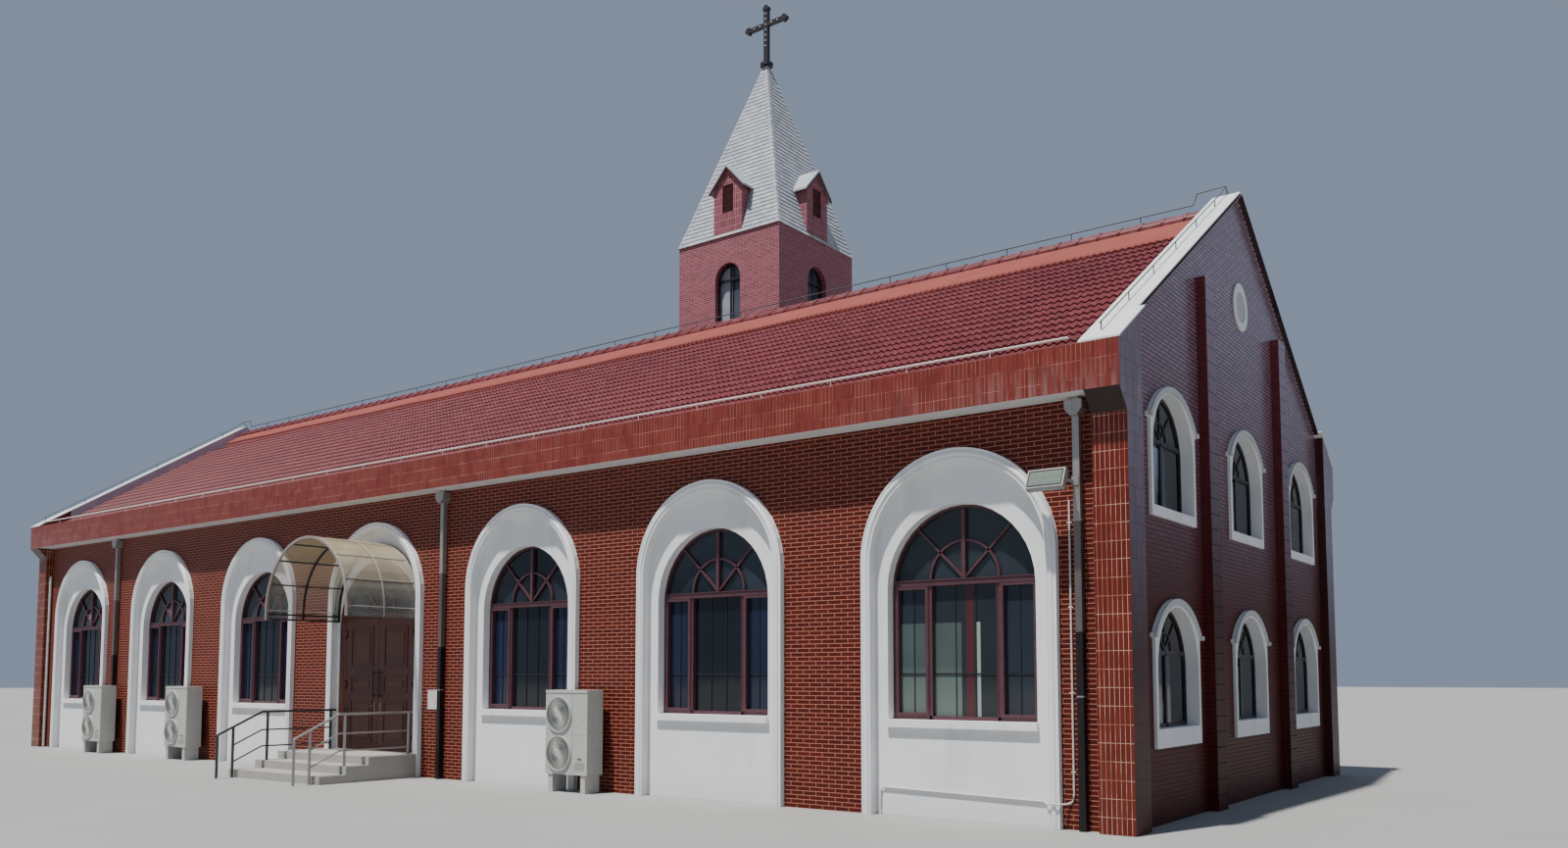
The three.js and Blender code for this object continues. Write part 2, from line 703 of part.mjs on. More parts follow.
// The strap of one hinge part, from beside its barrel back into the wood.
function hingePlate(x, y, way, low, high) {
  const near = x + way * HINGE.plateIn;
  const far = x + way * HINGE.plateOut;
  const y0 = y - HINGE.plateHalf;
  return box(Math.min(near, far), Math.max(near, far), y0, FRAME.front + 1, low, high);
}

function fixedHinge(side, height) {
  const [x, y] = hingeAxis(side);
  let whole = null;
  for (const way of [-1, 1]) {
    const near = height + way * (HINGE.leafLong / 2 + GAP);
    const far = near + way * HINGE.frameLong;
    const low = Math.min(near, far);
    const high = Math.max(near, far);
    const barrel = bar([x, y, low], [x, y, high], HINGE.radius);
    const hinge = barrel.add(hingePlate(x, y, side, low, high));
    whole = whole ? whole.add(hinge) : hinge;
  }
  return whole;
}

function leaf(side) {
  const outer = DOORWAY.half - FRAME.width - LEAF.gap;
  const inner = LEAF.meeting / 2;
  const x0 = side < 0 ? -outer : inner;
  const x1 = side < 0 ? -inner : outer;
  const { front } = FRAME;
  let whole = box(x0, x1, front, front + LEAF.thick, LEAF.bottom, LEAF.top);
  const [x, y] = hingeAxis(side);
  for (const height of HINGE_HEIGHTS) {
    const low = height - HINGE.leafLong / 2;
    const high = height + HINGE.leafLong / 2;
    const barrel = bar([x, y, low], [x, y, high], HINGE.radius);
    whole = join(whole, barrel, hingePlate(x, y, -side, low, high));
  }
  return whole;
}

function pull(side) {
  const x = side * PULL.x;
  const y = FRAME.front - PULL.stand;
  const grip = bar([x, y, PULL.low], [x, y, PULL.high], PULL.radius);
  const feet = [PULL.low + 60, PULL.high - 60].map((z) =>
    bar([x, y, z], [x, FRAME.front - GAP, z], PULL.radius * 0.7),
  );
  return join(grip, ...feet);
}

function door() {
  place("door_frame", doorFrame(), "wood");
  place("door_leaf_left", leaf(-1), "wood");
  place("door_leaf_right", leaf(1), "wood");
  place("door_pull_left", pull(-1), "iron");
  place("door_pull_right", pull(1), "iron");
  const clear = DOORWAY.half - FRAME.width - GAP;
  const middle = (FRAME.front + FRAME.back) / 2;
  const pane = alongY(
    roundHeaded(0, clear, FRAME.transomHigh - 400, DOORWAY.spring),
    middle - GLASS / 2,
    middle + GLASS / 2,
  );
  const under = box(-DOORWAY.half, DOORWAY.half, 0, WALL, 0, FRAME.transomHigh + GAP);
  place("fanlight_glass", pane.subtract(under), "glass");
}

// A stilted half ring in X and Z around the door's axis, drawn out along Y.
function hoop(inner, outer, y0, y1, foot) {
  const { spring } = CANOPY;
  const outline = [
    [outer, foot],
    ...arc(0, spring, outer, 0, Math.PI, 24),
    [-outer, foot],
    [-inner, foot],
    ...arc(0, spring, inner, Math.PI, 0, 24),
    [inner, foot],
  ];
  return alongY(outline, y0, y1);
}

function canopy() {
  const { radius, tube, foot, front, sheet, spring } = CANOPY;
  const wallSide = SURROUND.recess - GAP;
  const outer = radius + tube;
  const starts = [-front, -front / 2, wallSide - tube];
  let frame = null;
  for (const y of starts) {
    const ring = hoop(radius, outer, y, y + tube, foot);
    frame = frame ? frame.add(ring) : ring;
  }
  const half = tube / 2;
  for (const degrees of CANOPY_PURLINS) {
    const angle = THREE.MathUtils.degToRad(degrees);
    const x = (radius + half - 4) * Math.cos(angle);
    const z = spring + (radius + half - 4) * Math.sin(angle);
    frame = frame.add(bar([x, -front + 5, z], [x, wallSide - 5, z], half * 0.75, 8));
  }
  for (const side of [-1, 1]) {
    const x = side * (radius + half);
    for (const z of [foot + half, CANOPY_LOW_PURLIN]) {
      const inset = half - 2;
      frame = frame.add(box(x - inset, x + inset, -front + 5, wallSide - 5, z - inset, z + inset));
    }
  }
  place("canopy_frame", frame, "iron");
  const cover = hoop(outer + GAP, outer + GAP + sheet, -front, wallSide, foot);
  place("canopy_cover", cover, "bronze");
}

function treadHeight(tread) {
  return FLOOR_Z * (1 - tread / STEP_FRONTS.length);
}

function entrance() {
  const back = -SURROUND.ringOut - GAP;
  let steps = null;
  STEP_FRONTS.forEach((front, tread) => {
    const step = box(-STEPS_HALF, STEPS_HALF, -front, back, 0, treadHeight(tread));
    steps = steps ? steps.add(step) : step;
  });
  place("entrance_steps", steps, "stone");
  place("handrail_left", handrail(-RAIL_X), "steel");
  place("handrail_right", handrail(RAIL_X), "steel");
}

// A pipe rail that runs level from the wall over the landing, then down beside the steps.
function handrail(x) {
  const last = RAIL_POSTS[3].y;
  const third = RAIL_POSTS[2].y;
  const heightAt = (y) => {
    const part = Math.max(0, (-RAIL.turn - y) / (-RAIL.turn - last));
    return RAIL.level + (RAIL.end - RAIL.level) * part;
  };
  const posts = RAIL_POSTS.map(({ y, tread }) => {
    const foot = treadHeight(tread);
    return bar([x, y, foot > 0 ? foot + GAP : 0], [x, y, heightAt(y)], RAIL.post);
  });
  const run = (from, to, drop, radius) =>
    bar([x, from, heightAt(from) - drop], [x, to, heightAt(to) - drop], radius);
  const elbow = new THREE.SphereGeometry(RAIL.radius, 10, 8);
  elbow.translate(x, -RAIL.turn, RAIL.level);
  const end = new THREE.SphereGeometry(RAIL.post, 10, 8);
  end.translate(x, last, RAIL.end);
  const top = [
    run(RAIL.wallEnd, -RAIL.turn, 0, RAIL.radius),
    run(-RAIL.turn, last, 0, RAIL.radius),
  ];
  const bars = RAIL_BARS.flatMap((drop) => [
    run(RAIL_POSTS[0].y, -RAIL.turn, drop, RAIL.barRadius),
    run(-RAIL.turn + 4, third, drop, RAIL.barRadius),
  ]);
  return join(...posts, ...top, ...bars, solid(elbow), solid(end));
}

// Sheets of glass that close the windows from behind the walls.
function glazing() {
  const behind = WALL + GAP;
  const low = WINDOW.sill - 60;
  const high = WINDOW.spring + WINDOW.half + 60;
  const x0 = BAY - WINDOW.half - 60;
  const x1 = BAY * BAYS_EACH_SIDE + WINDOW.half + 60;
  const sheet = box(x0, x1, behind, behind + GLASS, low, high);
  place("front_glass_right", sheet, "glass");
  place("front_glass_left", mirrorX(sheet), "glass");
  place("back_glass_right", mirrorY(sheet), "glass");
  place("back_glass_left", mirrorX(mirrorY(sheet)), "glass");
  const names = ["lower", "upper"];
  GABLE_ROWS.forEach((row, i) => {
    const reach = GABLE.spacing + GABLE.half + 60;
    const inside = GABLE_INNER_X - GAP;
    const top = row.spring + GABLE.half + 60;
    const pane = box(
      inside - GLASS,
      inside,
      MIDDLE_Y - reach,
      MIDDLE_Y + reach,
      row.sill - 60,
      top,
    );
    place("gable_glass_right_" + names[i], pane, "glass");
    place("gable_glass_left_" + names[i], mirrorX(pane), "glass");
  });
  const inner = TOWER.front + TOWER.wall + GAP;
  const half = TOWER_WINDOW.half + 60;
  const towerLow = TOWER_WINDOW.sill - 60;
  const pane = box(-half, half, inner, inner + GLASS, towerLow, TOWER_WINDOW.apex + 60);
  const sides = ["front", "right", "back", "left"];
  quarterTurns(pane).forEach((turned, i) => place("tower_glass_" + sides[i], turned, "glass"));
}

// An outdoor cooling unit on two concrete blocks.
function coolingUnit(x) {
  const half = AC.width / 2;
  const front = -AC.back - AC.depth;
  const body = box(x - half, x + half, front, -AC.back, AC.foot, AC.foot + AC.high);
  const blocks = [-1, 1].map((side) => {
    const at = x + side * (half - AC.block);
    return box(at - AC.block / 2, at + AC.block / 2, front + 20, -AC.back - 20, 0, AC.foot + 1);
  });
  return join(body, ...blocks);
}

function downpipe(x) {
  const half = PIPE.side / 2;
  const y1 = -GAP;
  const y0 = -PIPE.off - PIPE.side;
  const pipe = box(x - half, x + half, y0, -PIPE.off, 0, HOPPER.throat + 1);
  const wide = HOPPER.side / 2;
  const { throat, low, high, out } = HOPPER;
  const funnel = [
    [x - half, throat],
    [x + half, throat],
    [x + wide, low],
    [x + wide, high],
    [x - wide, high],
    [x - wide, low],
  ];
  const head = alongY(funnel, -out, y1);
  const spout = box(x - 60, x + 60, -130, -60, high - 1, SOFFIT_Z - GAP);
  const straps = [900, 2600, 4300].map((z) => box(x - half - 8, x + half + 8, y0 - 6, y1, z, z + 40));
  return join(pipe, head, spout, ...straps);
}

// A floodlight held in front of the right downspout by a short arm.
function floodlight() {
  const { x, z, width, high, deep, out, arm, armX } = LAMP;
  const half = width / 2;
  const lamp = box(-half, half, -deep / 2, deep / 2, -high / 2, high / 2);
  const tilted = lamp.rotate([-25, 0, 0]).translate([x, -out, z]);
  const pipeFront = -PIPE.off - PIPE.side - GAP;
  const bracket = box(armX - arm, armX + arm / 2, -out, pipeFront, z - arm / 2, z + arm / 2);
  const plate = box(armX - 10, armX + 90, pipeFront - 12, pipeFront, z - 60, z + 60);
  return join(tilted, bracket, plate);
}

function services() {
  ["left", "middle", "right"].forEach((name, i) => {
    place("cooling_unit_" + name, coolingUnit(AC_X[i]), "cream");
    place("downspout_" + name, downpipe(PIPE_X[i]), "steel");
  });
  place("floodlight", floodlight(), "steel");
}

floorSlab();
frontWalls();
backWalls();
cornerPiers();
gableWalls();
fascias();
roofs();
copings();
towerWalls();
spire();
cross();
door();
canopy();
entrance();
glazing();
services();

export default model;
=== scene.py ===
# A brick church with a white-ringed nave, a tiled roof and a shingled bell spire, dressed
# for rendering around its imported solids. Metres, +Z up, front towards -Y.
import math

import bmesh
import bpy
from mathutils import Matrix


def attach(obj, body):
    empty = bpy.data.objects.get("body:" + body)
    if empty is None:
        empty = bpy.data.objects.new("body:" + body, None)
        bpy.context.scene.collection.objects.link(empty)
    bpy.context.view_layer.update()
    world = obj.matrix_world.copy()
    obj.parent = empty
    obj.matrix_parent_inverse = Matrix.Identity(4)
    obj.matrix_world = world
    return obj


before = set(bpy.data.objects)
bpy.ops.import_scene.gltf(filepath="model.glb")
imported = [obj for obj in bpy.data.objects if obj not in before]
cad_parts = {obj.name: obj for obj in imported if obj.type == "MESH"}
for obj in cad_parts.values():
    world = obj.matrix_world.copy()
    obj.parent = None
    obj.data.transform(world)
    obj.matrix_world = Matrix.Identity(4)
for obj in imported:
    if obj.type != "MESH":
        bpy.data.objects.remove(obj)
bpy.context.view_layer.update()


# Camera, floor and light. The church is seen from its right front corner at eye height,
# through a wide lens shifted upwards, on a pale floor under a high soft key light.
CAMERA_PLACE = (23.052, -22.603, 2.14)
CAMERA_TURN = (94.147, 0.03, 36.58)
PHOTO_WIDE = 1600
PHOTO_HIGH = 865
FOCAL_PIXELS = 1205.8
OPTICAL_AXIS_ROW = 602
SENSOR = 36

lens = bpy.data.cameras.new("photo_lens")
lens.sensor_width = SENSOR
lens.lens = FOCAL_PIXELS / PHOTO_WIDE * SENSOR
lens.shift_y = (OPTICAL_AXIS_ROW - PHOTO_HIGH / 2) / PHOTO_WIDE
lens.clip_end = 400
camera = bpy.data.objects.new("photo_camera", lens)
camera.location = CAMERA_PLACE
camera.rotation_euler = [math.radians(turn) for turn in CAMERA_TURN]
bpy.context.scene.collection.objects.link(camera)
bpy.context.scene.camera = camera


def shade(hex_colour):
    """A colour as a paint chart names it, turned into the light values that shaders use."""
    parts = [int(hex_colour[i:i + 2], 16) / 255 for i in (0, 2, 4)]
    return [p / 12.92 if p < 0.04045 else ((p + 0.055) / 1.055) ** 2.4 for p in parts] + [1]


def sums(operation):
    """An operator of Coat, which adds the Math node of that operation."""
    return lambda self, other: self.sum_of(operation, self, other)


class Coat:
    """One socket of a finish. Sums written with it add the Math nodes that work them out."""

    def __init__(self, tree, socket):
        self.tree = tree
        self.socket = socket

    def node(self, kind, settings, inputs, output=0):
        """Any other node: its settings first, then the values or links of its sockets."""
        made = self.tree.nodes.new(kind)
        for name, value in settings.items():
            setattr(made, name, value)
        for name, value in inputs.items():
            self.feed(made, name, value)
        return Coat(self.tree, made.outputs[output])

    def feed(self, made, name, value):
        """Links one socket of a node, or sets it. A text is a colour."""
        if isinstance(value, Coat):
            self.tree.links.new(value.socket, made.inputs[name])
        else:
            made.inputs[name].default_value = shade(value) if isinstance(value, str) else value

    def sum_of(self, operation, *values):
        return self.node("ShaderNodeMath", {"operation": operation}, dict(enumerate(values)))

    __add__ = __radd__ = sums("ADD")
    __sub__ = sums("SUBTRACT")
    __mul__ = __rmul__ = __and__ = sums("MULTIPLY")
    __truediv__ = sums("DIVIDE")
    __mod__ = sums("FLOORED_MODULO")
    __gt__ = sums("GREATER_THAN")
    __lt__ = sums("LESS_THAN")
    __or__ = sums("MAXIMUM")

    def __rsub__(self, other):
        return self.sum_of("SUBTRACT", other, self)

    def __abs__(self):
        return self.sum_of("ABSOLUTE", self)

    def floor(self):
        return self.sum_of("FLOOR", self)

    def covered(self, top, share):
        """This colour with another one laid over it where share is 1."""
        return tint(share, self, top)

    def along(self, axis):
        return self.node("ShaderNodeSeparateXYZ", {}, {0: self}, "XYZ".index(axis))

    def cloudy(self, size, detail=4):
        """Soft uneven patches of about that size, from 0 to 1."""
        return self.node(
            "ShaderNodeTexNoise", {}, {"Vector": self, "Scale": 1 / size, "Detail": detail}
        )

    def from_to(self, low, high, start=0.0, end=1.0):
        """Turns the range from low to high into start to end, and stays inside it."""
        numbers = {0: self, 1: low, 2: high, 3: start, 4: end}
        return self.node("ShaderNodeMapRange", {}, numbers)

    def stretched(self, *shares):
        """The place with its three axes stretched by those shares."""
        times = {"operation": "MULTIPLY"}
        return self.node("ShaderNodeVectorMath", times, {0: self, 1: shares})


def new_finish(name):
    """A material and the place on the object, as its first socket."""
    material = bpy.data.materials.new(name)
    material.use_nodes = True
    tree = material.node_tree
    place = Coat(tree, tree.nodes.new("ShaderNodeTexCoord").outputs["Object"])
    return material, place


def tint(share, low, high):
    """From one colour to another as share goes from 0 to 1."""
    return share.node("ShaderNodeMix", {"data_type": "RGBA"}, {0: share, 6: low, 7: high}, 2)


def apply_coat(material, colour, rough, relief=None, depth=0.002, **fixed):
    """Puts the colour, the roughness and the relief on the material's shader."""
    shader = material.node_tree.nodes["Principled BSDF"]
    sockets = {"Base Color": colour, "Roughness": rough, **fixed}
    if relief is not None:
        numbers = {"Height": relief, "Distance": depth, "Strength": 1.0}
        sockets["Normal"] = relief.node("ShaderNodeBump", {}, numbers)
    for name, value in sockets.items():
        colour.feed(shader, name, value)
    return material


def studio_floor():
    material, place = new_finish("studio_floor")
    patches = place.cloudy(3.0)
    apply_coat(material, tint(patches, "8f8f8e", "989897"), 0.9)
    ground = bpy.data.meshes.new("studio_floor")
    far = 220
    ground.from_pydata(
        [(-far, -far, -0.002), (far, -far, -0.002), (far, far, -0.002), (-far, far, -0.002)],
        [],
        [(0, 1, 2, 3)],
    )
    ground.materials.append(material)
    floor = bpy.data.objects.new("studio_floor", ground)
    bpy.context.scene.collection.objects.link(floor)


studio_floor()

sky = bpy.data.worlds.new("studio_sky")
sky.use_nodes = True
sky.node_tree.nodes["Background"].inputs["Color"].default_value = shade("c3d5f4")
sky.node_tree.nodes["Background"].inputs["Strength"].default_value = 0.42
bpy.context.scene.world = sky
key = bpy.data.lights.new("high_key", "SUN")
key.energy = 6.6
key.angle = math.radians(1.5)
key.color = (1.0, 0.97, 0.92)
key_lamp = bpy.data.objects.new("high_key", key)
key_lamp.rotation_euler = (math.radians(21), 0, math.radians(-16))
bpy.context.scene.collection.objects.link(key_lamp)


# Front and back walls. Brick-slip cladding in running bond, a 240 by 60 mm face with 10 mm
# joints, laid on the block wall, and a smooth painted render on the rings round the openings.
FRONT_Y = -6.846
BACK_Y = FRONT_Y + 12.03
MIDDLE_Y = (FRONT_Y + BACK_Y) / 2
BAY = 4.86
RING_HALF = 1.64
DOOR_RING_HALF = 1.72
RING_TOP = 5.568
WALL_THICK = 0.3
# The length and height of a slip with its joint, and how far each course is shifted.
FLAT_SLIP = (0.25, 0.07, 0.5)
TALL_SLIP = (0.07, 0.25, 0.0)
JOINT = 0.006


def slips(place, along, up, long, high, shift, joint=JOINT):
    """Laid tiles: the joints as a mask, and each tile's own tone from 0 to 1."""
    flat = place.node("ShaderNodeCombineXYZ", {}, {0: along, 1: up})
    numbers = {
        "Vector": flat,
        "Color1": (0, 0, 0, 1),
        "Color2": (1, 1, 1, 1),
        "Mortar": (0.5, 0.5, 0.5, 1),
        "Scale": 1.0,
        "Mortar Size": joint,
        "Mortar Smooth": 0.1,
        "Brick Width": long,
        "Row Height": high,
    }
    laid = place.node("ShaderNodeTexBrick", {"offset": shift}, numbers)
    joints = Coat(place.tree, laid.socket.node.outputs["Fac"])
    return joints, laid.along("X")


def facing(place, axis):
    """1 where the surface looks along that axis."""
    looks = place.node("ShaderNodeNewGeometry", {}, {}, "Normal")
    return abs(looks.along(axis)) > 0.6


def from_nearest(value, gap):
    """How far the value is past the nearest of the lines that stand at that gap."""
    return (value + gap / 2) % gap - gap / 2


def within(value, low, high):
    """1 where the value lies between the two."""
    return (value > low) & (value < high)


def either(mask, one, other):
    """The one value where the mask is 1, and the other elsewhere."""
    return mask * one + (1 - mask) * other


def run_of_wall(place):
    """The distance along whichever wall the surface belongs to."""
    return either(facing(place, "X"), place.along("Y"), place.along("X"))


def render_paint(place):
    """White exterior paint on smooth render, a little rain-stained."""
    streak = place.stretched(2.2, 2.2, 0.25)
    stains = streak.cloudy(0.8, 6).from_to(0.52, 0.85)
    patches = place.cloudy(0.6)
    base = tint(patches, "dcdee0", "eceded")
    foot = place.along("Z").from_to(0.45, 0.0, 0.0, 0.45)
    return base.covered("a9aaa6", stains * 0.35 | foot * patches)


def slip_colours(place, joints, tones, dark, light, joint):
    """Fired clay: each slip has its own tone, with cloudy patches and pale joints."""
    patches = place.cloudy(0.9, 5)
    clay = tint(tones * 0.6 + patches * 0.4, dark, light)
    return tint(joints, clay, joint)


def long_wall_finish():
    material, place = new_finish("front_brick")
    x, z = abs(place.along("X")), place.along("Z")
    from_bay = abs(from_nearest(x, BAY))
    half = (x < BAY / 2) * (DOOR_RING_HALF - RING_HALF) + RING_HALF
    above = (z - RING_TOP + half) | 0.0
    ringed = from_bay * from_bay + above * above < (half + 0.001) * (half + 0.001)
    y = abs(place.along("Y") - MIDDLE_Y)
    inner_face = (y < MIDDLE_Y - FRONT_Y - WALL_THICK + 0.002) & facing(place, "Y")
    white = ringed | inner_face
    joints, tones = slips(place, run_of_wall(place), z, *FLAT_SLIP)
    brick = slip_colours(place, joints, tones, "3d0e09", "5a180f", "b0705a")
    colour = brick.covered(render_paint(place), white)
    grain = place.cloudy(0.02, 6)
    relief = (1 - joints) * (1 - white) + grain * 0.12
    rough = either(white, 0.72, joints * 0.35 + 0.42 + grain * 0.15)
    return apply_coat(material, colour, rough, relief, 0.0015, **{"Specular IOR Level": 0.25})


def dress_node(names, material):
    """Gives carried-over solids their finish."""
    for name in names:
        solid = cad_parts[name]
        solid.data.materials.clear()
        solid.data.materials.append(material)
        for face in solid.data.polygons:
            face.use_smooth = False


dress_node(
    ["front_wall_left", "front_wall_right", "front_wall_over_door", "back_wall_left",
     "back_wall_right"],
    long_wall_finish(),
)


# Tower walls. The same brick slips on all four faces, and tall tiles stood on end on the
# dormer gables above the eaves of the spire.
TOWER_Y = MIDDLE_Y + 8.345
TOWER_HALF = 2.02
SPIRE_FOOT = 15.95
SPIRE_TOP = 22.52
SPIRE_HALF = 2.04


def tower_finish():
    material, place = new_finish("tower_brick")
    z = place.along("Z")
    run = run_of_wall(place)
    joints, tones = slips(place, run, z, *FLAT_SLIP)
    stood, stood_tones = slips(place, run + 0.035, z, *TALL_SLIP)
    gable = z > SPIRE_FOOT
    joints, tones = either(gable, stood, joints), either(gable, stood_tones, tones)
    dark = tint(gable, "6d3036", "632629")
    colour = slip_colours(place, joints, tones, dark, "93505a", "b88890")
    grain = place.cloudy(0.02, 6)
    relief = (1 - joints) + grain * 0.1
    return apply_coat(material, colour, joints * 0.3 + 0.4 + grain * 0.2, relief, 0.004)


dress_node(
    ["tower_wall_front", "tower_wall_back", "tower_wall_left", "tower_wall_right"],
    tower_finish(),
)


# Gable walls. Slips painted red-brown near the ground and going to a pale mauve, glossier, high
# up, with their joints going from pale to dark, a painted reflection of the sky on the glaze;
# tall tiles on the pilasters, whose sides get a redder copy with less of that painted
# reflection; white painted surrounds with shallow hoods round two rows of windows; painted
# shade under the verge band; and a pale metal flashing on the inner side of the parapets.
GABLE_X = 17.17
GABLE_SPACING = 3.95
GABLE_HALF = 0.925
GABLE_ROWS = [
    {"bottom": 1.093, "sill": 1.37, "spring": 2.24, "hood": 3.295, "transom": 2.48},
    {"bottom": 4.477, "sill": 4.63, "spring": 5.49, "hood": 6.516, "transom": 5.69},
]
PILASTER_OFFSET = 2.286
PILASTER_HALF = 0.243
OCULUS_Z = 8.785
OCULUS_OUTER = 0.435
GABLE_INNER_X = 16.871
PILASTER_TOP = 8.66
PARAPET_FOOT = 6.4
VERGE_X = 17.19


def gable_finish():
    material, place = new_finish("gable_brick")
    x, y, z = abs(place.along("X")), place.along("Y") - MIDDLE_Y, place.along("Z")
    from_window = abs(from_nearest(y, GABLE_SPACING))
    proud = x > GABLE_X + 0.001
    near = from_window < 1.2
    white = None
    for row in GABLE_ROWS:
        level = within(z, row["bottom"] - 0.01, row["hood"] + 0.01)
        above = (z - row["spring"]) | 0.0
        reach = from_window * from_window + above * above
        opening = (reach < (GABLE_HALF + 0.004) ** 2) & (z > row["sill"] - 0.004)
        opening = opening & (z < row["spring"] + GABLE_HALF + 0.01)
        mark = (level & near & proud) | (opening & (x > GABLE_INNER_X + 0.001))
        white = mark if white is None else white | mark
    lift = z - OCULUS_Z
    oculus = ((y * y + lift * lift) < (OCULUS_OUTER + 0.003) ** 2) & proud
    inner_face = within(x, GABLE_INNER_X - 0.031, GABLE_INNER_X)
    white = white | oculus | (inner_face & facing(place, "X"))
    from_pilaster = abs(abs(y) - PILASTER_OFFSET)
    pilaster = (from_pilaster < PILASTER_HALF + 0.004) & proud & (1 - white)
    pilaster = pilaster & (z < PILASTER_TOP)
    faces = facing(place, "X")
    joints, tones = slips(place, run_of_wall(place), z, *FLAT_SLIP, 0.009)
    stood, stood_tones = slips(place, y + 0.035, z, *TALL_SLIP, 0.008)
    parapet = (x < GABLE_INNER_X) & (z > PARAPET_FOOT)
    tall = pilaster & faces
    joints, tones = either(tall, stood, joints), either(tall, stood_tones, tones)
    # Painted reflection: from 3.2 m up to 9 m the slips are painted from red-brown to a pale mauve
    # and their joints from pale to dark, standing in for the sky reflected in the glaze.
    rise = z.from_to(3.2, 9.0)
    dark = tint(rise, "3a1412", "876b7a")
    light = tint(rise, "4f201b", "a88898")
    joint = tint(rise, "5c3630", "1a1013")
    brick = slip_colours(place, joints, tones, dark, light, joint)
    stone = slip_colours(place, joints, tones, dark, light, "160d10")
    # The pilaster sides get a redder copy of the slips, with less of the painted reflection than
    # the fronts.
    red_dark = tint(rise, "45191a", "6a2830")
    red_light = tint(rise, "552322", "7c363e")
    red = slip_colours(place, joints, tones, red_dark, red_light, "5a2a2c")
    colour = brick.covered(stone, tall)
    flashing = tint(place.cloudy(0.7, 5), "9c95a6", "c2bccb")
    colour = colour.covered(flashing, parapet & faces)
    colour = colour.covered(red, pilaster & (1 - faces))
    # Painted shade: the faces of the verge band under the coping that do not look along X are
    # painted near black.
    verge = (x > VERGE_X) & (1 - faces) & (z > PARAPET_FOOT) & (1 - pilaster)
    colour = colour.covered("2a1a1d", verge)
    colour = colour.covered(render_paint(place), white)
    hood = white & (x > GABLE_X + 0.06) & (1 - oculus)
    colour = colour.covered("aeb2b0", hood * 0.8)
    shaded_disc = oculus & (x < GABLE_X + 0.02)
    colour = colour.covered("9fa6ad", shaded_disc * 0.7)
    grain = place.cloudy(0.02, 6)
    relief = (1 - joints) * (1 - white) + grain * 0.12
    rough = either(white, 0.72, joints * 0.3 + 0.34 + grain * 0.15)
    sheen = (1 - white) * rise * 0.9
    fixed = {"Specular IOR Level": 0.08, "Coat Weight": sheen, "Coat Roughness": 0.2}
    return apply_coat(material, colour, rough, relief, 0.004, **fixed)


dress_node(["gable_wall_left", "gable_wall_right"], gable_finish())


# Corner piers and fascias. Tall tiles stood on end in stacked rows of 250 mm: red on the long
# sides, with cream joints on the piers and browner ones on the fascias; on the faces towards the
# gables red-brown low down and painted paler grey-purple with darker joints higher up, a painted
# reflection of the sky on the glaze; painted shade on the faces that look along the long walls on
# their inner sides and on the corbels under the fascia ends; and a painted soffit strip with
# faint salts above its edge.
SOFFIT_Z = 6.063
SOFFIT_END_X = 16.81
PIER_END_X = 17.0


def standing_tile_finish():
    material, place = new_finish("wall_tile")
    x, z = abs(place.along("X")), place.along("Z")
    side = facing(place, "X")
    under = facing(place, "Z") & (z < SOFFIT_Z + 0.01) & (x < SOFFIT_END_X)
    run = run_of_wall(place) + 0.01
    joints, tones = slips(place, run, z - 0.23, *TALL_SLIP, 0.0032)
    filled = place.cloudy(0.35, 3).from_to(0.42, 0.55)
    band = z > SOFFIT_Z
    cream = tint(filled, "ad7b62", "d6b094")
    cement = cream.covered(tint(filled, "7a3c34", "ad7b66"), band)
    dark_red = tint(band, "54180f", "64261f")
    light_red = tint(band, "6e2419", "7f372f")
    red = slip_colours(place, joints, tones, dark_red, light_red, cement)
    end = side & (x > PIER_END_X)
    # Painted reflection: on the faces towards the gables the tiles go from red-brown to a paler
    # grey-purple, and their joints from brown to near black, between 2.4 and 5.2 m, for the sky
    # reflected in the glaze.
    rise = z.from_to(2.4, 5.2)
    dark_end = tint(rise, "321416", "5b404b")
    light_end = tint(rise, "471f1f", "7b626e")
    joint_end = tint(rise, "55312d", "170d12")
    grey = slip_colours(place, joints, tones, dark_end, light_end, joint_end)
    # Painted shade: a darker copy of the tiles, laid on the faces that look along the long walls
    # on their inner sides.
    dark = slip_colours(place, joints, tones, "341517", "47201f", "55312d")
    colour = red.covered(grey, end)
    painted_shade_far_side = facing(place, "Y") & (abs(place.along("Y") - MIDDLE_Y) < 5.7)
    colour = colour.covered(dark, painted_shade_far_side)
    streak = place.stretched(9.0, 9.0, 0.6)
    salts = streak.cloudy(0.9, 5).from_to(0.45, 0.75) * z.from_to(6.55, 6.1)
    salts = salts * (z > SOFFIT_Z - 0.3) * x.from_to(12.0, 16.6)
    colour = colour.covered("c9c0c2", salts * 0.25)
    colour = colour.covered(render_paint(place), under)
    # Painted shade: faces that look up or down between 5 and 6.5 m, the corbels under the fascia
    # ends, are painted near black.
    painted_shade_corbel = facing(place, "Z") & within(z, 5.0, 6.5) & (1 - under)
    colour = colour.covered("2b1b19", painted_shade_corbel)
    grain = place.cloudy(0.02, 6)
    relief = (1 - joints) * (1 - under) + grain * 0.1
    rough = joints * 0.35 + 0.3 + grain * 0.15
    sheen = either(end, rise * 0.8, 0.45)
    fixed = {"Specular IOR Level": 0.12, "Coat Weight": sheen, "Coat Roughness": 0.25}
    return apply_coat(material, colour, rough, relief, 0.002, **fixed)


dress_node(
    ["corner_pier_front_left", "corner_pier_front_right", "corner_pier_back_left",
     "corner_pier_back_right", "front_fascia", "back_fascia_left", "back_fascia_right"],
    standing_tile_finish(),
)


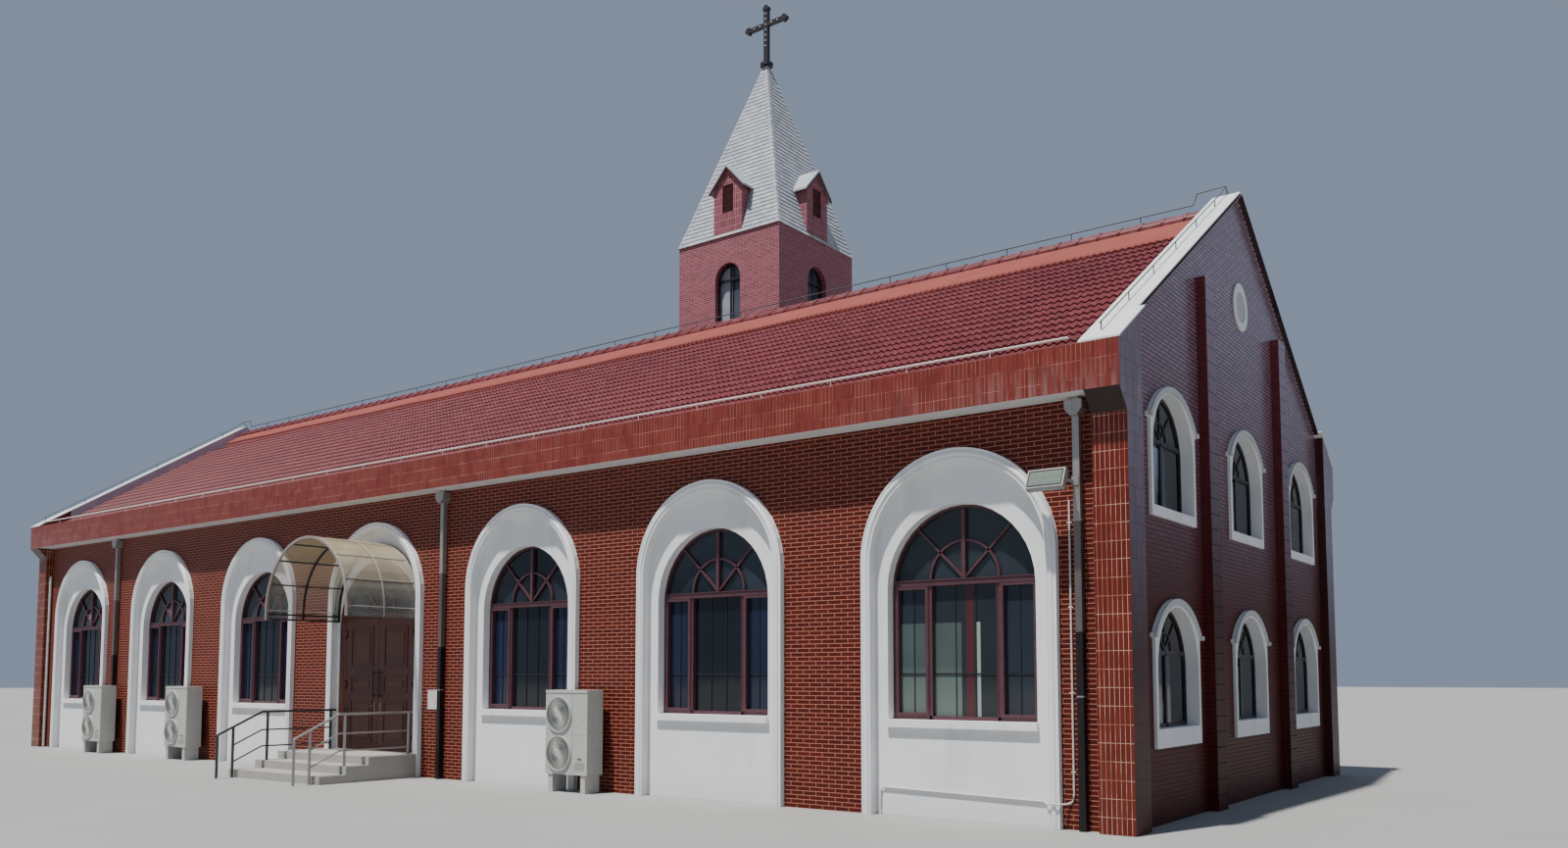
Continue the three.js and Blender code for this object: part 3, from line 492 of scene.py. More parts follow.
# Roof. Glazed dark-red clay tiles with one wave each, hung in overlapping courses on the
# slab, each course lifted where its nose lies on the one below.
RIDGE_Z = 10.6
ROOF_SLOPE = 0.645
ROOF_HALF_LONG = 16.74
EAVE_RUN = 6.165
TILE_WIDE = 0.266
TILE_GAUGE = 0.348
TILE_WAVE = 0.034
TILE_NOSE = 0.046
TILE_THICK = 0.014
WAVE_STEPS = 6
FIRST_TILE_RUN = 1.12


def add_piece(name, points, faces, material, body="building"):
    """Joins points and faces into one piece, sets its finish and lets it ride on a body."""
    mesh = bpy.data.meshes.new(name)
    mesh.from_pydata(points, [], faces)
    mesh.materials.append(material)
    work = bmesh.new()
    work.from_mesh(mesh)
    bmesh.ops.recalc_face_normals(work, faces=work.faces)
    work.to_mesh(mesh)
    work.free()
    for face in mesh.polygons:
        face.use_smooth = False
    piece = bpy.data.objects.new(name, mesh)
    bpy.context.scene.collection.objects.link(piece)
    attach(piece, body)


def roof_tile_finish():
    material, place = new_finish("roof_tile")
    x, z = place.along("X"), place.along("Z")
    run = (RIDGE_Z - z) / ROOF_SLOPE * math.hypot(1, ROOF_SLOPE)
    column, course = (x / TILE_WIDE).floor(), (run / TILE_GAUGE).floor()
    cell = place.node("ShaderNodeCombineXYZ", {}, {0: column, 1: course})
    own = place.node("ShaderNodeTexWhiteNoise", {}, {"Vector": cell}, 0)
    patches = place.cloudy(2.5, 6)
    clay = tint(own * 0.35 + patches * 0.65, "50141a", "74272c")
    dust = place.cloudy(0.15, 8).from_to(0.5, 0.8)
    colour = clay.covered("8e5a52", dust * 0.25)
    return apply_coat(material, colour, dust * 0.3 + 0.42, place.cloudy(0.015, 5), 0.002)


roof_tiles_look = roof_tile_finish()
dress_node(["roof_front", "roof_back"], roof_tiles_look)


def tile_slope(name, way):
    """All the courses of one slope, from the eave up to the mortar under the ridge."""
    columns = round(4 * ROOF_HALF_LONG / TILE_WIDE) * WAVE_STEPS
    lean = math.hypot(1, ROOF_SLOPE)
    courses = math.ceil((EAVE_RUN - FIRST_TILE_RUN) * lean / TILE_GAUGE)
    points, faces = [], []
    for course in range(courses):
        nose = EAVE_RUN - course * TILE_GAUGE / lean
        head = max(FIRST_TILE_RUN, nose - 1.08 * TILE_GAUGE / lean)
        tucked = nose - 0.05
        lines = [
            (tucked, -0.004), (nose, TILE_NOSE - TILE_THICK), (nose, TILE_NOSE), (head, 0.004),
        ]
        start = len(points)
        for run, lift in lines:
            for i in range(columns + 1):
                x = -ROOF_HALF_LONG + 2 * ROOF_HALF_LONG * i / columns
                turn = 2 * math.pi * (i % WAVE_STEPS) / WAVE_STEPS
                wave = 0 if lift < 0 else TILE_WAVE * (0.5 - 0.5 * math.cos(turn))
                y = MIDDLE_Y - way * run
                points.append((x, y, RIDGE_Z - ROOF_SLOPE * run + lift + wave))
        for row in range(len(lines) - 1):
            for i in range(columns):
                a = start + row * (columns + 1) + i
                faces.append((a, a + 1, a + columns + 2, a + columns + 1))
    add_piece(name, points, faces, roof_tiles_look)


tile_slope("roof_tiles_front", 1)
tile_slope("roof_tiles_back", -1)


# Ridge. Stepped caps in the roof's clay, lapped end to end, over a broad band of brown-red
# mortar that closes the top course of tiles on both slopes and was laid by hand.
RIDGE_BAND_RUN = 0.88
RIDGE_CAP_LONG = 0.42
RIDGE_START = -16.745
RIDGE_LONG = 33.49


def mortar_finish():
    material, place = new_finish("ridge_mortar")
    patches = place.cloudy(0.5, 6)
    fine = place.cloudy(0.03, 6)
    colour = tint(patches * 0.7 + fine * 0.3, "742b22", "8f453b")
    return apply_coat(material, colour, 0.85, fine, 0.004)


mortar = mortar_finish()
dress_node(["ridge_cap"], mortar)


class Stock:
    """Points and faces of one piece while it is put together."""

    def __init__(self):
        self.points = []
        self.faces = []

    def prism(self, outline, place_at, start, end):
        """An outline drawn out between two depths. place_at turns (u, v, depth) into a point."""
        first = len(self.points)
        for depth in (start, end):
            self.points += [place_at(u, v, depth) for u, v in outline]
        self.skin(first, len(outline))

    def skin(self, first, count):
        """Closes the rings of count points each, from the first one on, into a solid."""
        last = len(self.points) - count
        for ring in range(first, last, count):
            for k in range(count):
                a, b = ring + k, ring + (k + 1) % count
                self.faces.append((a, b, b + count, a + count))
        self.faces.append(tuple(range(first, first + count)))
        self.faces.append(tuple(reversed(range(last, last + count))))

    def patch(self, points, faces):
        """Adds points, and faces that name their corners by their place in that list."""
        first = len(self.points)
        self.points += points
        self.faces += [tuple(first + corner for corner in face) for face in faces]

    def rod(self, path, radius, sides=8):
        """A round rod along a line of points, closed at both ends."""
        first = len(self.points)
        for i, here in enumerate(path):
            before = path[max(0, i - 1)]
            after = path[min(len(path) - 1, i + 1)]
            way = unit([b - a for a, b in zip(before, after)])
            aside = (0, 0, 1) if abs(way[2]) < 0.9 else (1, 0, 0)
            one = unit(cross(way, aside))
            two = cross(way, one)
            for k in range(sides):
                turn = 2 * math.pi * k / sides
                c, s = radius * math.cos(turn), radius * math.sin(turn)
                self.points.append(tuple(h + c * p + s * q for h, p, q in zip(here, one, two)))
        self.skin(first, sides)

    def made(self, name, material, slot, body="building"):
        add_piece(name, self.points, self.faces, material, body)


def cross(a, b):
    return (a[1] * b[2] - a[2] * b[1], a[2] * b[0] - a[0] * b[2], a[0] * b[1] - a[1] * b[0])


def unit(a):
    size = math.sqrt(sum(v * v for v in a))
    return tuple(v / size for v in a)


def across_roof(u, v, depth):
    return (depth, MIDDLE_Y + u, v)


# The band's lower edge is trowelled into the hollows of the tiles.
HOLLOW = TILE_WIDE / 2
BAND_STEP = HOLLOW / 4
for side, name in ((-1, "front"), (1, "back")):
    band = Stock()
    for i in range(int(RIDGE_LONG / BAND_STEP) + 1):
        x = RIDGE_START + i * BAND_STEP
        far = RIDGE_BAND_RUN + 0.012 * x - 0.035 * math.cos(2 * math.pi * x / HOLLOW)
        far += 0.03 * math.sin(x * 1.7) * math.sin(x * 0.43 + 1)
        edge = ((0.19, 0.0), (0.19, 0.088), (far - 0.05, 0.078), (far, 0.05), (far, 0.0))
        for run, lift in edge:
            band.points.append((x, MIDDLE_Y + side * run, RIDGE_Z - ROOF_SLOPE * run + lift))
    band.skin(0, 5)
    band.made("ridge_mortar_band_" + name, mortar, slot="ridge_tile")

ridge_caps = Stock()
cap_count = round(33.5 / RIDGE_CAP_LONG)
CAP_SIDE = [
    (0.27, -0.085), (0.27, -0.045), (0.2, 0.005), (0.185, -0.02), (0.165, 0.04), (0.1, 0.105),
    (0.04, 0.13),
]
for i in range(cap_count):
    x0 = RIDGE_START + i * RIDGE_LONG / cap_count
    x1 = x0 + RIDGE_LONG / cap_count
    for start, end, lip in ((x0, x1 - 0.05, 0.0), (x1 - 0.05, x1, 0.012)):
        half = [(u + lip, RIDGE_Z + v + lip) for u, v in CAP_SIDE]
        whole = half + [(-u, v) for u, v in reversed(half)]
        ridge_caps.prism(whole, across_roof, start, end)
ridge_caps.made("ridge_caps", roof_tiles_look, slot="ridge_tile")


# Lightning rails. Thin galvanised rod on short posts: along the ridge, up over the coping's
# apex and down both slopes of each gable, and a white-painted pipe along the front eave.
RAIL_OVER_RIDGE = 0.28
APEX_ROD_Z = 11.1
COPING_APEX = 10.935
COPING_POST = 0.12
POST_GAP = 1.4


def worn_finish(name, dark, light, patch, rough, uneven=0, detail=5, depth=0.0005, metallic=0):
    """One paint or metal with cloudy wear in patches of that size, rougher by its uneven share."""
    material, place = new_finish(name)
    wear = place.cloudy(patch, detail)
    if uneven:
        rough = wear * uneven + rough
    relief = wear if depth else None
    return apply_coat(material, tint(wear, dark, light), rough, relief, depth, Metallic=metallic)


galvanised = worn_finish(
    "galvanised_rod", "3a3e40", "565b5c", patch=0.08, rough=0.5, uneven=0.2, metallic=0.3
)
white_pipe = worn_finish("white_pipe", "b9b2ae", "dcd8d4", patch=0.15, rough=0.5)
rods = Stock()
rail_z = RIDGE_Z + RAIL_OVER_RIDGE
climb = [(16.4, rail_z), (16.48, 11.08), (16.98, APEX_ROD_Z)]
half_run = [(x, MIDDLE_Y, z) for x, z in climb]
rods.rod([(-x, y, z) for x, y, z in reversed(half_run)] + half_run, 0.012)
for i in range(-11, 12):
    rods.rod([(i * POST_GAP, MIDDLE_Y, RIDGE_Z + 0.1), (i * POST_GAP, MIDDLE_Y, rail_z)], 0.01, 6)
for end in (-1, 1):
    for side in (-1, 1):
        x = end * 16.99
        path = [(x, MIDDLE_Y, APEX_ROD_Z)]
        for run in (0.25, 6.25):
            z = COPING_APEX - run * ROOF_SLOPE + COPING_POST
            path.append((x, MIDDLE_Y + side * run, z))
        rods.rod(path, 0.01, 6)
        for i in range(6):
            run = 0.7 + i * 1.1
            z = COPING_APEX - run * ROOF_SLOPE
            y = MIDDLE_Y + side * run
            rods.rod([(x, y, z), (x, y, z + COPING_POST)], 0.009, 6)
rods.made("lightning_rails", galvanised, slot="painted_iron")

eave_pipe = Stock()
EAVE_PIPE_Y = FRONT_Y - 0.42
EAVE_PIPE_Z = 6.835
eave_pipe.rod([(-16.6, EAVE_PIPE_Y, EAVE_PIPE_Z), (16.6, EAVE_PIPE_Y, EAVE_PIPE_Z)], 0.017, 10)
for i in range(-11, 12):
    x = i * POST_GAP
    eave_pipe.rod([(x, EAVE_PIPE_Y, 6.73), (x, EAVE_PIPE_Y, EAVE_PIPE_Z)], 0.007, 6)
eave_pipe.made("eave_lightning_pipe", white_pipe, slot="grey_metal")


# Gable copings. Pale painted sheets folded over the parapets, in lengths with a lapped seam,
# with patches of grey grime.
def coping_finish():
    material, place = new_finish("white_coping")
    y = place.along("Y")
    seam = abs((y + 20) % 1.2 - 0.6) < 0.006
    patches = place.cloudy(0.35, 6)
    grime = place.cloudy(0.08, 6).from_to(0.5, 0.8)
    colour = tint(patches, "c9ccce", "e6e8e9")
    colour = colour.covered("8f9090", grime * 0.3 | seam * 0.7)
    return apply_coat(material, colour, 0.45 + grime * 0.2, 1 - seam, 0.003)


dress_node(["gable_coping_left", "gable_coping_right"], coping_finish())


# Spire. Pale grey fibre shingles nailed in overlapping courses, folded caps up the four
# hips, and the same shingles on the dormer roofs.
SHINGLE_GAUGE = 0.155
SHINGLE_WIDE = 0.27
SHINGLE_THICK = 0.022
COURSE_RISE = 0.1477


def shingle_finish():
    material, place = new_finish("spire_shingle")
    z = place.along("Z")
    course = (z / COURSE_RISE).floor()
    shifted = run_of_wall(place) / SHINGLE_WIDE + course * 0.5
    cell = place.node("ShaderNodeCombineXYZ", {}, {0: shifted.floor(), 1: course})
    own = place.node("ShaderNodeTexWhiteNoise", {}, {"Vector": cell}, 0)
    patches = place.cloudy(0.7, 6)
    colour = tint(own * 0.5 + patches * 0.5, "8d939c", "bdc2c8")
    grain = place.cloudy(0.01, 4)
    return apply_coat(material, colour, 0.8, grain, 0.002)


shingles_look = shingle_finish()
dress_node(["spire"], shingles_look)
spire_shingles = Stock()
spire_rise = SPIRE_TOP - SPIRE_FOOT
spire_lean = math.hypot(spire_rise, SPIRE_HALF)
spire_courses = int((spire_lean - 0.35) / SHINGLE_GAUGE)


def spire_point(turn, across, up, lift):
    """A point on one face: across from its middle, up along the slope, lifted off it."""
    share = up / spire_lean
    out = SPIRE_HALF * (1 - share) + lift * spire_rise / spire_lean
    z = SPIRE_FOOT + spire_rise * share + lift * SPIRE_HALF / spire_lean
    x, y = across, -out
    for _ in range(turn):
        x, y = -y, x
    return (x, TOWER_Y + y, z)


def spire_half(up):
    """Half the width of a face at that distance up the slope."""
    return SPIRE_HALF * (1 - up / spire_lean)


SHINGLE_FACES = [(0, 1, 2, 3), (3, 2, 4, 5), (1, 4, 2), (0, 3, 5), (0, 5, 4, 1)]
for turn in range(4):
    for course in range(spire_courses):
        low = course * SHINGLE_GAUGE
        high = low + SHINGLE_GAUGE * 1.12
        half, half_high = spire_half(low), spire_half(high)
        offset = (course % 2) * SHINGLE_WIDE / 2
        count = int(half / SHINGLE_WIDE) + 2
        for i in range(-count, count + 1):
            left = i * SHINGLE_WIDE + offset + 0.004
            right = left + SHINGLE_WIDE - 0.008
            low_left, low_right = max(left, -half), min(right, half)
            high_left, high_right = max(left, -half_high), min(right, half_high)
            if low_right - low_left < 0.02 or high_right - high_left < 0.01:
                continue
            corners = [
                (low_left, low, 0.001), (low_right, low, 0.001),
                (low_right, low, 0.004 + SHINGLE_THICK), (low_left, low, 0.004 + SHINGLE_THICK),
                (high_right, high, 0.003), (high_left, high, 0.003),
            ]
            spire_shingles.patch([spire_point(turn, *corner) for corner in corners], SHINGLE_FACES)
spire_shingles.made("spire_shingles", shingles_look, slot="spire_shingle")

hip_caps = Stock()
HIP_WIDE = 0.11
HIP_FACES = [(0, 1, 3, 2), (2, 3, 5, 4), (1, 5, 3), (0, 4, 5, 1)]
for turn in range(4):
    for course in range(spire_courses):
        low = course * SHINGLE_GAUGE
        high = low + SHINGLE_GAUGE * 1.1
        for side in (-1, 1):
            corners = []
            for up, lift in ((low, 0.018), (low, 0.03), (high, 0.016)):
                edge = side * spire_half(up)
                corners += [(edge, up, lift), (edge - side * HIP_WIDE, up, lift)]
            hip_caps.patch([spire_point(turn, *corner) for corner in corners], HIP_FACES)
hip_caps.made("spire_hip_caps", shingles_look, slot="spire_shingle")


# Cross. Black painted iron with a pointed bud on each end, standing in a collar on the point
# of the spire, with a string of small lamps clipped along its front.
black_iron = worn_finish(
    "painted_iron", "17151a", "35323a", patch=0.05, rough=0.4, uneven=0.3, detail=6,
    depth=0.001, metallic=0.4,
)
dress_node(["cross", "door_pull_left", "door_pull_right"], black_iron)

CROSS_FACE = 0.0575
BEAD_GAP = 0.185
BEAD_RADIUS = 0.021
CROSSING_Z = 23.77
bead_look = worn_finish("lamp_beads", "c9ccd0", "eef0f2", patch=0.02, rough=0.3, detail=3, depth=0)
beads = Stock()
spots = [(0, CROSSING_Z + BEAD_GAP * i) for i in (2, 1, 0, -1, -2, -3, -4)]
spots += [(BEAD_GAP * i * 1.3, CROSSING_Z) for i in (-2, -1, 1, 2)]
for u, v in spots:
    y = TOWER_Y - CROSS_FACE
    beads.rod([(u, y + 0.004, v), (u, y - 0.012, v), (u, y - 0.02, v)], BEAD_RADIUS, 10)
beads.made("cross_lamp_beads", bead_look, slot="painted_iron")


# Ring mouldings. Run plaster on every white ring of the long walls: an outer fillet, a broad
# round, and an inner fillet, swept up one leg, over the arch and down the other.
RING_PROUD = 0.09
RING_PROFILE = [
    (0.0, 0.0), (0.0, 0.014), (0.026, 0.014), (0.032, 0.002), (0.045, 0.006), (0.058, 0.022),
    (0.08, 0.032), (0.104, 0.03), (0.122, 0.018), (0.132, 0.002), (0.14, 0.012), (0.164, 0.012),
    (0.164, 0.0),
]


def plaster_finish():
    material, place = new_finish("run_plaster")
    grain = place.cloudy(0.03, 5)
    return apply_coat(material, render_paint(place), 0.7, grain, 0.001)


plaster = plaster_finish()


def on_arc(centre, radius, degrees, high=None):
    """A point at that angle round a centre, on a circle or on an oval of its own height."""
    turn = math.radians(degrees)
    return centre[0] + radius * math.cos(turn), centre[1] + (high or radius) * math.sin(turn)


def ring_moulding(stock, wall, centre, half):
    """The profile, swept from the ground up one leg, round the arch and down again."""
    start = len(stock.points)
    spring = RING_TOP - half
    for i in range(-1, 42):
        for inset, proud in RING_PROFILE:
            u, v = on_arc((0, spring), half - inset, 180 * (1 - min(max(i, 0), 40) / 40))
            if i in (-1, 41):
                v = 0.0
            stock.points.append(wall(centre + u, v, -RING_PROUD - proud))
    stock.skin(start, len(RING_PROFILE))


# Window frames of the long walls. Plum-brown powder-coated aluminium: three lights under a
# transom, the outer two hinged sashes, and a fan of bars with a half ring in the arch, with
# thin black iron bars close to the glass.
WINDOW_HALF = 1.25
WINDOW_SILL = 1.466
WINDOW_SPRING = 3.493
TRANSOM_Z = 3.573


def frame_finish(name, dark, light):
    material, place = new_finish(name)
    wear = place.cloudy(0.12, 5)
    fine = place.cloudy(0.004, 3)
    colour = tint(wear, dark, light)
    return apply_coat(material, colour, 0.35 + wear * 0.15, fine, 0.0004, Metallic=0.15)


plum_frame = frame_finish("plum_frame", "452830", "5e3d45")


def straight(stock, place_at, start, end, wide, near, far):
    """A bar between two points of a wall, of that width, between two depths."""
    du, dv = end[0] - start[0], end[1] - start[1]
    size = math.hypot(du, dv)
    nu, nv = -dv / size * wide / 2, du / size * wide / 2
    outline = [
        (start[0] + nu, start[1] + nv),
        (end[0] + nu, end[1] + nv),
        (end[0] - nu, end[1] - nv),
        (start[0] - nu, start[1] - nv),
    ]
    stock.prism(outline, place_at, near, far)


def bowed(stock, place_at, centre, inner, outer, near, far, first=0.0, last=180.0, steps=24):
    """A curved bar round a centre, between two angles, two radii and two depths."""
    start = len(stock.points)
    for i in range(steps + 1):
        turn = first + (last - first) * i / steps
        for radius, depth in ((inner, near), (outer, near), (outer, far), (inner, far)):
            stock.points.append(place_at(*on_arc(centre, radius, turn), depth))
    stock.skin(start, 4)


def hollow_rect(stock, place_at, u0, u1, v0, v1, wide, near, far):
    """Four bars round a rectangle."""
    half = wide / 2
    for v in (v0 + half, v1 - half):
        straight(stock, place_at, (u0, v), (u1, v), wide, near, far)
    for u in (u0 + half, u1 - half):
        straight(stock, place_at, (u, v0 + wide), (u, v1 - wide), wide, near, far)


def beside(wall, centre):
    """The same face of a wall, measured from another centre line."""
    return lambda u, v, depth: wall(centre + u, v, depth)


def long_window(stock, bars, wall, centre):
    """One window of a long wall, around its centre line."""
    at = beside(wall, centre)
    near, far = 0.235, 0.2995
    inner, low = WINDOW_HALF - 0.06, WINDOW_SILL
    fan_foot = (0, TRANSOM_Z + 0.05)

    def bar(start, end, wide, proud=0.0, back=far):
        straight(stock, at, start, end, wide, near - proud, back)

    for side in (-1, 1):
        jamb, mullion = side * (inner + 0.03), side * 0.58
        bar((jamb, low), (jamb, WINDOW_SPRING), 0.06)
        bar((mullion, low), (mullion, TRANSOM_Z), 0.07)
        for u in (0.552, 0.608):
            bar((side * u, low), (side * u, TRANSOM_Z), 0.012, 0.012, near)
        u0, u1 = sorted((side * inner, side * 0.615))
        hollow_rect(stock, at, u0, u1, low + 0.06, TRANSOM_Z - 0.05, 0.045, near - 0.02, far)
    bowed(stock, at, (0, WINDOW_SPRING), WINDOW_HALF - 0.04, WINDOW_HALF, near, far)
    bar((-inner, low + 0.03), (inner, low + 0.03), 0.06)
    bar((-inner, TRANSOM_Z), (inner, TRANSOM_Z), 0.1, 0.01)
    for v in (TRANSOM_Z - 0.042, TRANSOM_Z + 0.042):
        bar((-inner, v), (inner, v), 0.014, 0.024, near - 0.01)
    bar((0, TRANSOM_Z), (0, WINDOW_SPRING + inner), 0.065)
    bowed(stock, at, fan_foot, 0.565, 0.6, near + 0.02, far)
    for degrees in (45, 135):
        bar(fan_foot, on_arc(fan_foot, 1.12, degrees), 0.035, -0.02)
    for u in (-0.9, -0.17, 0.17, 0.9):
        straight(bars, at, (u, low + 0.06), (u, TRANSOM_Z - 0.05), 0.012, far - 0.012, far)
    for u0, u1 in ((-1.15, -0.64), (-0.545, 0.545), (0.64, 1.15)):
        straight(bars, at, (u0, 2.17), (u1, 2.17), 0.02, far - 0.014, far)


def front_wall_at(u, v, depth):
    return (u, FRONT_Y + depth, v)


def back_wall_at(u, v, depth):
    return (u, BACK_Y - depth, v)


BAYS = [-3, -2, -1, 1, 2, 3]
for name, wall in (("front", front_wall_at), ("back", back_wall_at)):
    frames, bars, rings = Stock(), Stock(), Stock()
    for bay in BAYS:
        long_window(frames, bars, wall, bay * BAY)
        ring_moulding(rings, wall, bay * BAY, RING_HALF)
    if name == "front":
        ring_moulding(rings, wall, 0, DOOR_RING_HALF)
    rings.made(name + "_ring_mouldings", plaster, slot="front_brick")
    frames.made(name + "_window_frames", plum_frame, slot="painted_iron")
    bars.made(name + "_window_bars", black_iron, slot="painted_iron")


# Gable windows. Dark frames set a hand's width behind the brick: two lights with one
# mullion, a transom, and a small half ring in the arch.
dark_frame = frame_finish("dark_frame", "17131a", "2b232a")


def gable_window(stock, wall, centre, row):
    """One window of a gable wall, around its centre line."""
    at = beside(wall, centre)
    near, far = 0.15, 0.2
    inner, sill, transom = GABLE_HALF - 0.055, row["sill"], row["transom"]
    foot = (0, transom + 0.03)

    def bar(start, end, wide, front=near):
        straight(stock, at, start, end, wide, front, far)

    for u in (-inner - 0.0275, inner + 0.0275):
        bar((u, sill), (u, row["spring"]), 0.055)
    bowed(stock, at, (0, row["spring"]), inner, GABLE_HALF, near, far)
    bar((-inner, sill + 0.03), (inner, sill + 0.03), 0.06)
    bar((-inner, transom), (inner, transom), 0.07)
    bar((0, sill), (0, transom), 0.07)
    bowed(stock, at, foot, 0.27, 0.3, near + 0.01, far, steps=14)
    for degrees in (45, 90, 135):
        bar(foot, on_arc(foot, 0.62, degrees, 0.6), 0.03, near + 0.01)


def right_gable_at(u, v, depth):
    return (GABLE_X - depth, MIDDLE_Y + u, v)


def left_gable_at(u, v, depth):
    return (-GABLE_X + depth, MIDDLE_Y + u, v)


for name, wall in (("right", right_gable_at), ("left", left_gable_at)):
    frames = Stock()
    for row in GABLE_ROWS:
        for step in (-1, 0, 1):
            gable_window(frames, wall, step * GABLE_SPACING, row)
    frames.made("gable_window_frames_" + name, dark_frame, slot="painted_iron")


# Tower windows. Round-headed lights with a mullion and a transom at the springing.
TOWER_WINDOW_HALF = 0.5
TOWER_WINDOW_SILL = 12.1
TOWER_WINDOW_SPRING = 14.58


def tower_face(turn):
    def at(u, v, depth):
        x, y = u, -(TOWER_HALF - depth)
        for _ in range(turn):
            x, y = -y, x
        return (x, TOWER_Y + y, v)

    return at


tower_frames = Stock()
for turn in range(4):
    at = tower_face(turn)
    near, far = 0.16, 0.2
    inner = TOWER_WINDOW_HALF - 0.05
    low, spring = TOWER_WINDOW_SILL, TOWER_WINDOW_SPRING
    bowed(tower_frames, at, (0, spring), inner, TOWER_WINDOW_HALF, near, far)
    for start, end, wide, front in (
        ((-inner - 0.025, low), (-inner - 0.025, spring), 0.05, near),
        ((inner + 0.025, low), (inner + 0.025, spring), 0.05, near),
        ((-inner, low + 0.03), (inner, low + 0.03), 0.06, near),
        ((-inner, spring), (inner, spring), 0.06, near - 0.01),
        ((0, low), (0, spring + inner), 0.055, near),
    ):
        straight(tower_frames, at, start, end, wide, front, far)
tower_frames.made("tower_window_frames", dark_frame, slot="painted_iron")


# Dormer louvres. Sloping dark-red slats set into each of the four dormers, and barge boards
# in the same paint along the edges of their roofs.
LOUVRE_HALF = 0.22
LOUVRE_LOW = 16.72
SLATS = 11
SLAT_GAP = 0.08
SLAT_SECTION = [(0.0, 0.005), (0.012, 0.005), (0.07, 0.072), (0.058, 0.072)]
BOARD_DROP = 0.06
BOARD_FOOT = (0.7, 17.415)
BOARD_TOP_Z = 18.175
slat_paint = frame_finish("slat_paint", "3a1a1c", "4f2426")
louvres, boards = Stock(), Stock()
for turn in range(4):
    at = tower_face(turn)
    for i in range(SLATS):
        v = LOUVRE_LOW + 0.02 + i * SLAT_GAP
        first = len(louvres.points)
        for u in (-LOUVRE_HALF, LOUVRE_HALF):
            louvres.points += [at(u, v + lift, depth) for lift, depth in SLAT_SECTION]
        louvres.skin(first, 4)
    for side in (-1, 1):
        foot_u, foot_v = side * BOARD_FOOT[0], BOARD_FOOT[1]
        upper = [(foot_u, foot_v), (0, BOARD_TOP_Z)]
        lower = [(0, BOARD_TOP_Z - BOARD_DROP), (foot_u, foot_v - BOARD_DROP)]
        boards.prism(upper + lower, at, -0.092, -0.07)
louvres.made("dormer_louvres", slat_paint, slot="painted_iron")
boards.made("dormer_barge_boards", slat_paint, slot="painted_iron")


# Glass. Grey-blue sheets behind the frames, dark inside, with a faint ripple. The last front
# window shows curtains, a post and a bright strip, and the tower's panes are painted pale
# grey-blue as a reflection of the sky.
LONG_GLASS_Y = 5.6
GABLE_GLASS_X = 16.6
TOWER_GLASS_Z = 11.5
CURTAIN_TOP = 2.95
CURTAIN_HEM = (2.3, 2.1)
POST_TOP = 3.5


def glass_finish():
    material, place = new_finish("window_glass")
    x, y, z = place.along("X"), place.along("Y") - MIDDLE_Y, place.along("Z")
    haze = place.cloudy(1.4, 3)
    colour = tint(haze, "07090c", "1a2027")
    long_wall = abs(y) > LONG_GLASS_Y
    fan = (z > TRANSOM_Z) & long_wall
    colour = colour.covered("2a333b", fan * haze.from_to(0.35, 0.6))
    outer_light = (abs(from_nearest(abs(x), BAY)) > 0.6) & (z < TRANSOM_Z) & long_wall
    colour = colour.covered("1a2138", outer_light & (haze * 1.6))
    u = x - 3 * BAY
    last = (u > -1.3) & (y < 0.0) & long_wall
    curtain = (z < CURTAIN_TOP) & ((u < -0.6) | within(u, -0.56, -0.08))
    post = within(u, 0.0, 0.13) & (z < POST_TOP)
    strip = within(u, 0.17, 0.24) & (z < CURTAIN_TOP)
    cloth = haze * 0.4 + 0.15 + z.from_to(*CURTAIN_HEM) * 0.3
    colour = colour.covered(tint(haze, "1d2427", "343c3c"), last * 0.6)
    colour = colour.covered("6b7b74", last & curtain & cloth)
    colour = colour.covered("4a2329", last & post)
    colour = colour.covered("8d9793", last & strip)
    # Painted reflection: the tower's panes are painted pale grey-blue, brightest on the panes at
    # the left of the tower, for the sky they reflect.
    tower_panes_painted_sky = z > TOWER_GLASS_Z
    tower = tower_panes_painted_sky & within(x, -2.1, 0.0)
    colour = colour.covered("aab4c0", tower & (place.cloudy(0.5, 2) * 0.4 + 0.5))
    colour = colour.covered("5d6673", tower_panes_painted_sky & (1 - tower) & haze)
    lit = (from_nearest(y, GABLE_SPACING) < -0.05) & (abs(x) > GABLE_GLASS_X)
    lit = lit & ((z < 2.3) | within(z, 4.5, 5.6))
    colour = colour.covered("8f9ca8", lit & haze.from_to(0.4, 0.6))
    return apply_coat(material, colour, 0.06, place.cloudy(1.1, 1), 0.004)


window_glass = glass_finish()
dress_node([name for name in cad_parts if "glass" in name], window_glass)

PANE_HALF = GABLE_HALF - 0.02
gable_panes = Stock()
for wall in (right_gable_at, left_gable_at):
    for row in GABLE_ROWS:
        for step in (-1, 0, 1):
            outline = [(-PANE_HALF, row["sill"] + 0.01), (PANE_HALF, row["sill"] + 0.01)]
            outline += [on_arc((0, row["spring"]), PANE_HALF, 180 * k / 16) for k in range(17)]
            gable_panes.prism(outline, beside(wall, step * GABLE_SPACING), 0.178, 0.186)
gable_panes.made("gable_window_panes", window_glass, slot="window_glass")


# Door. Dark stained hardwood frame and leaves, each leaf with three raised and fielded
# panels in mitred mouldings.
LEAF_FRONT = 0.1
PANELS = [(2.33, 3.25, 0.11), (1.77, 2.16, 0.12), (0.66, 1.62, 0.1)]
PANEL_NEAR = 0.205
PANEL_FAR = 1.045


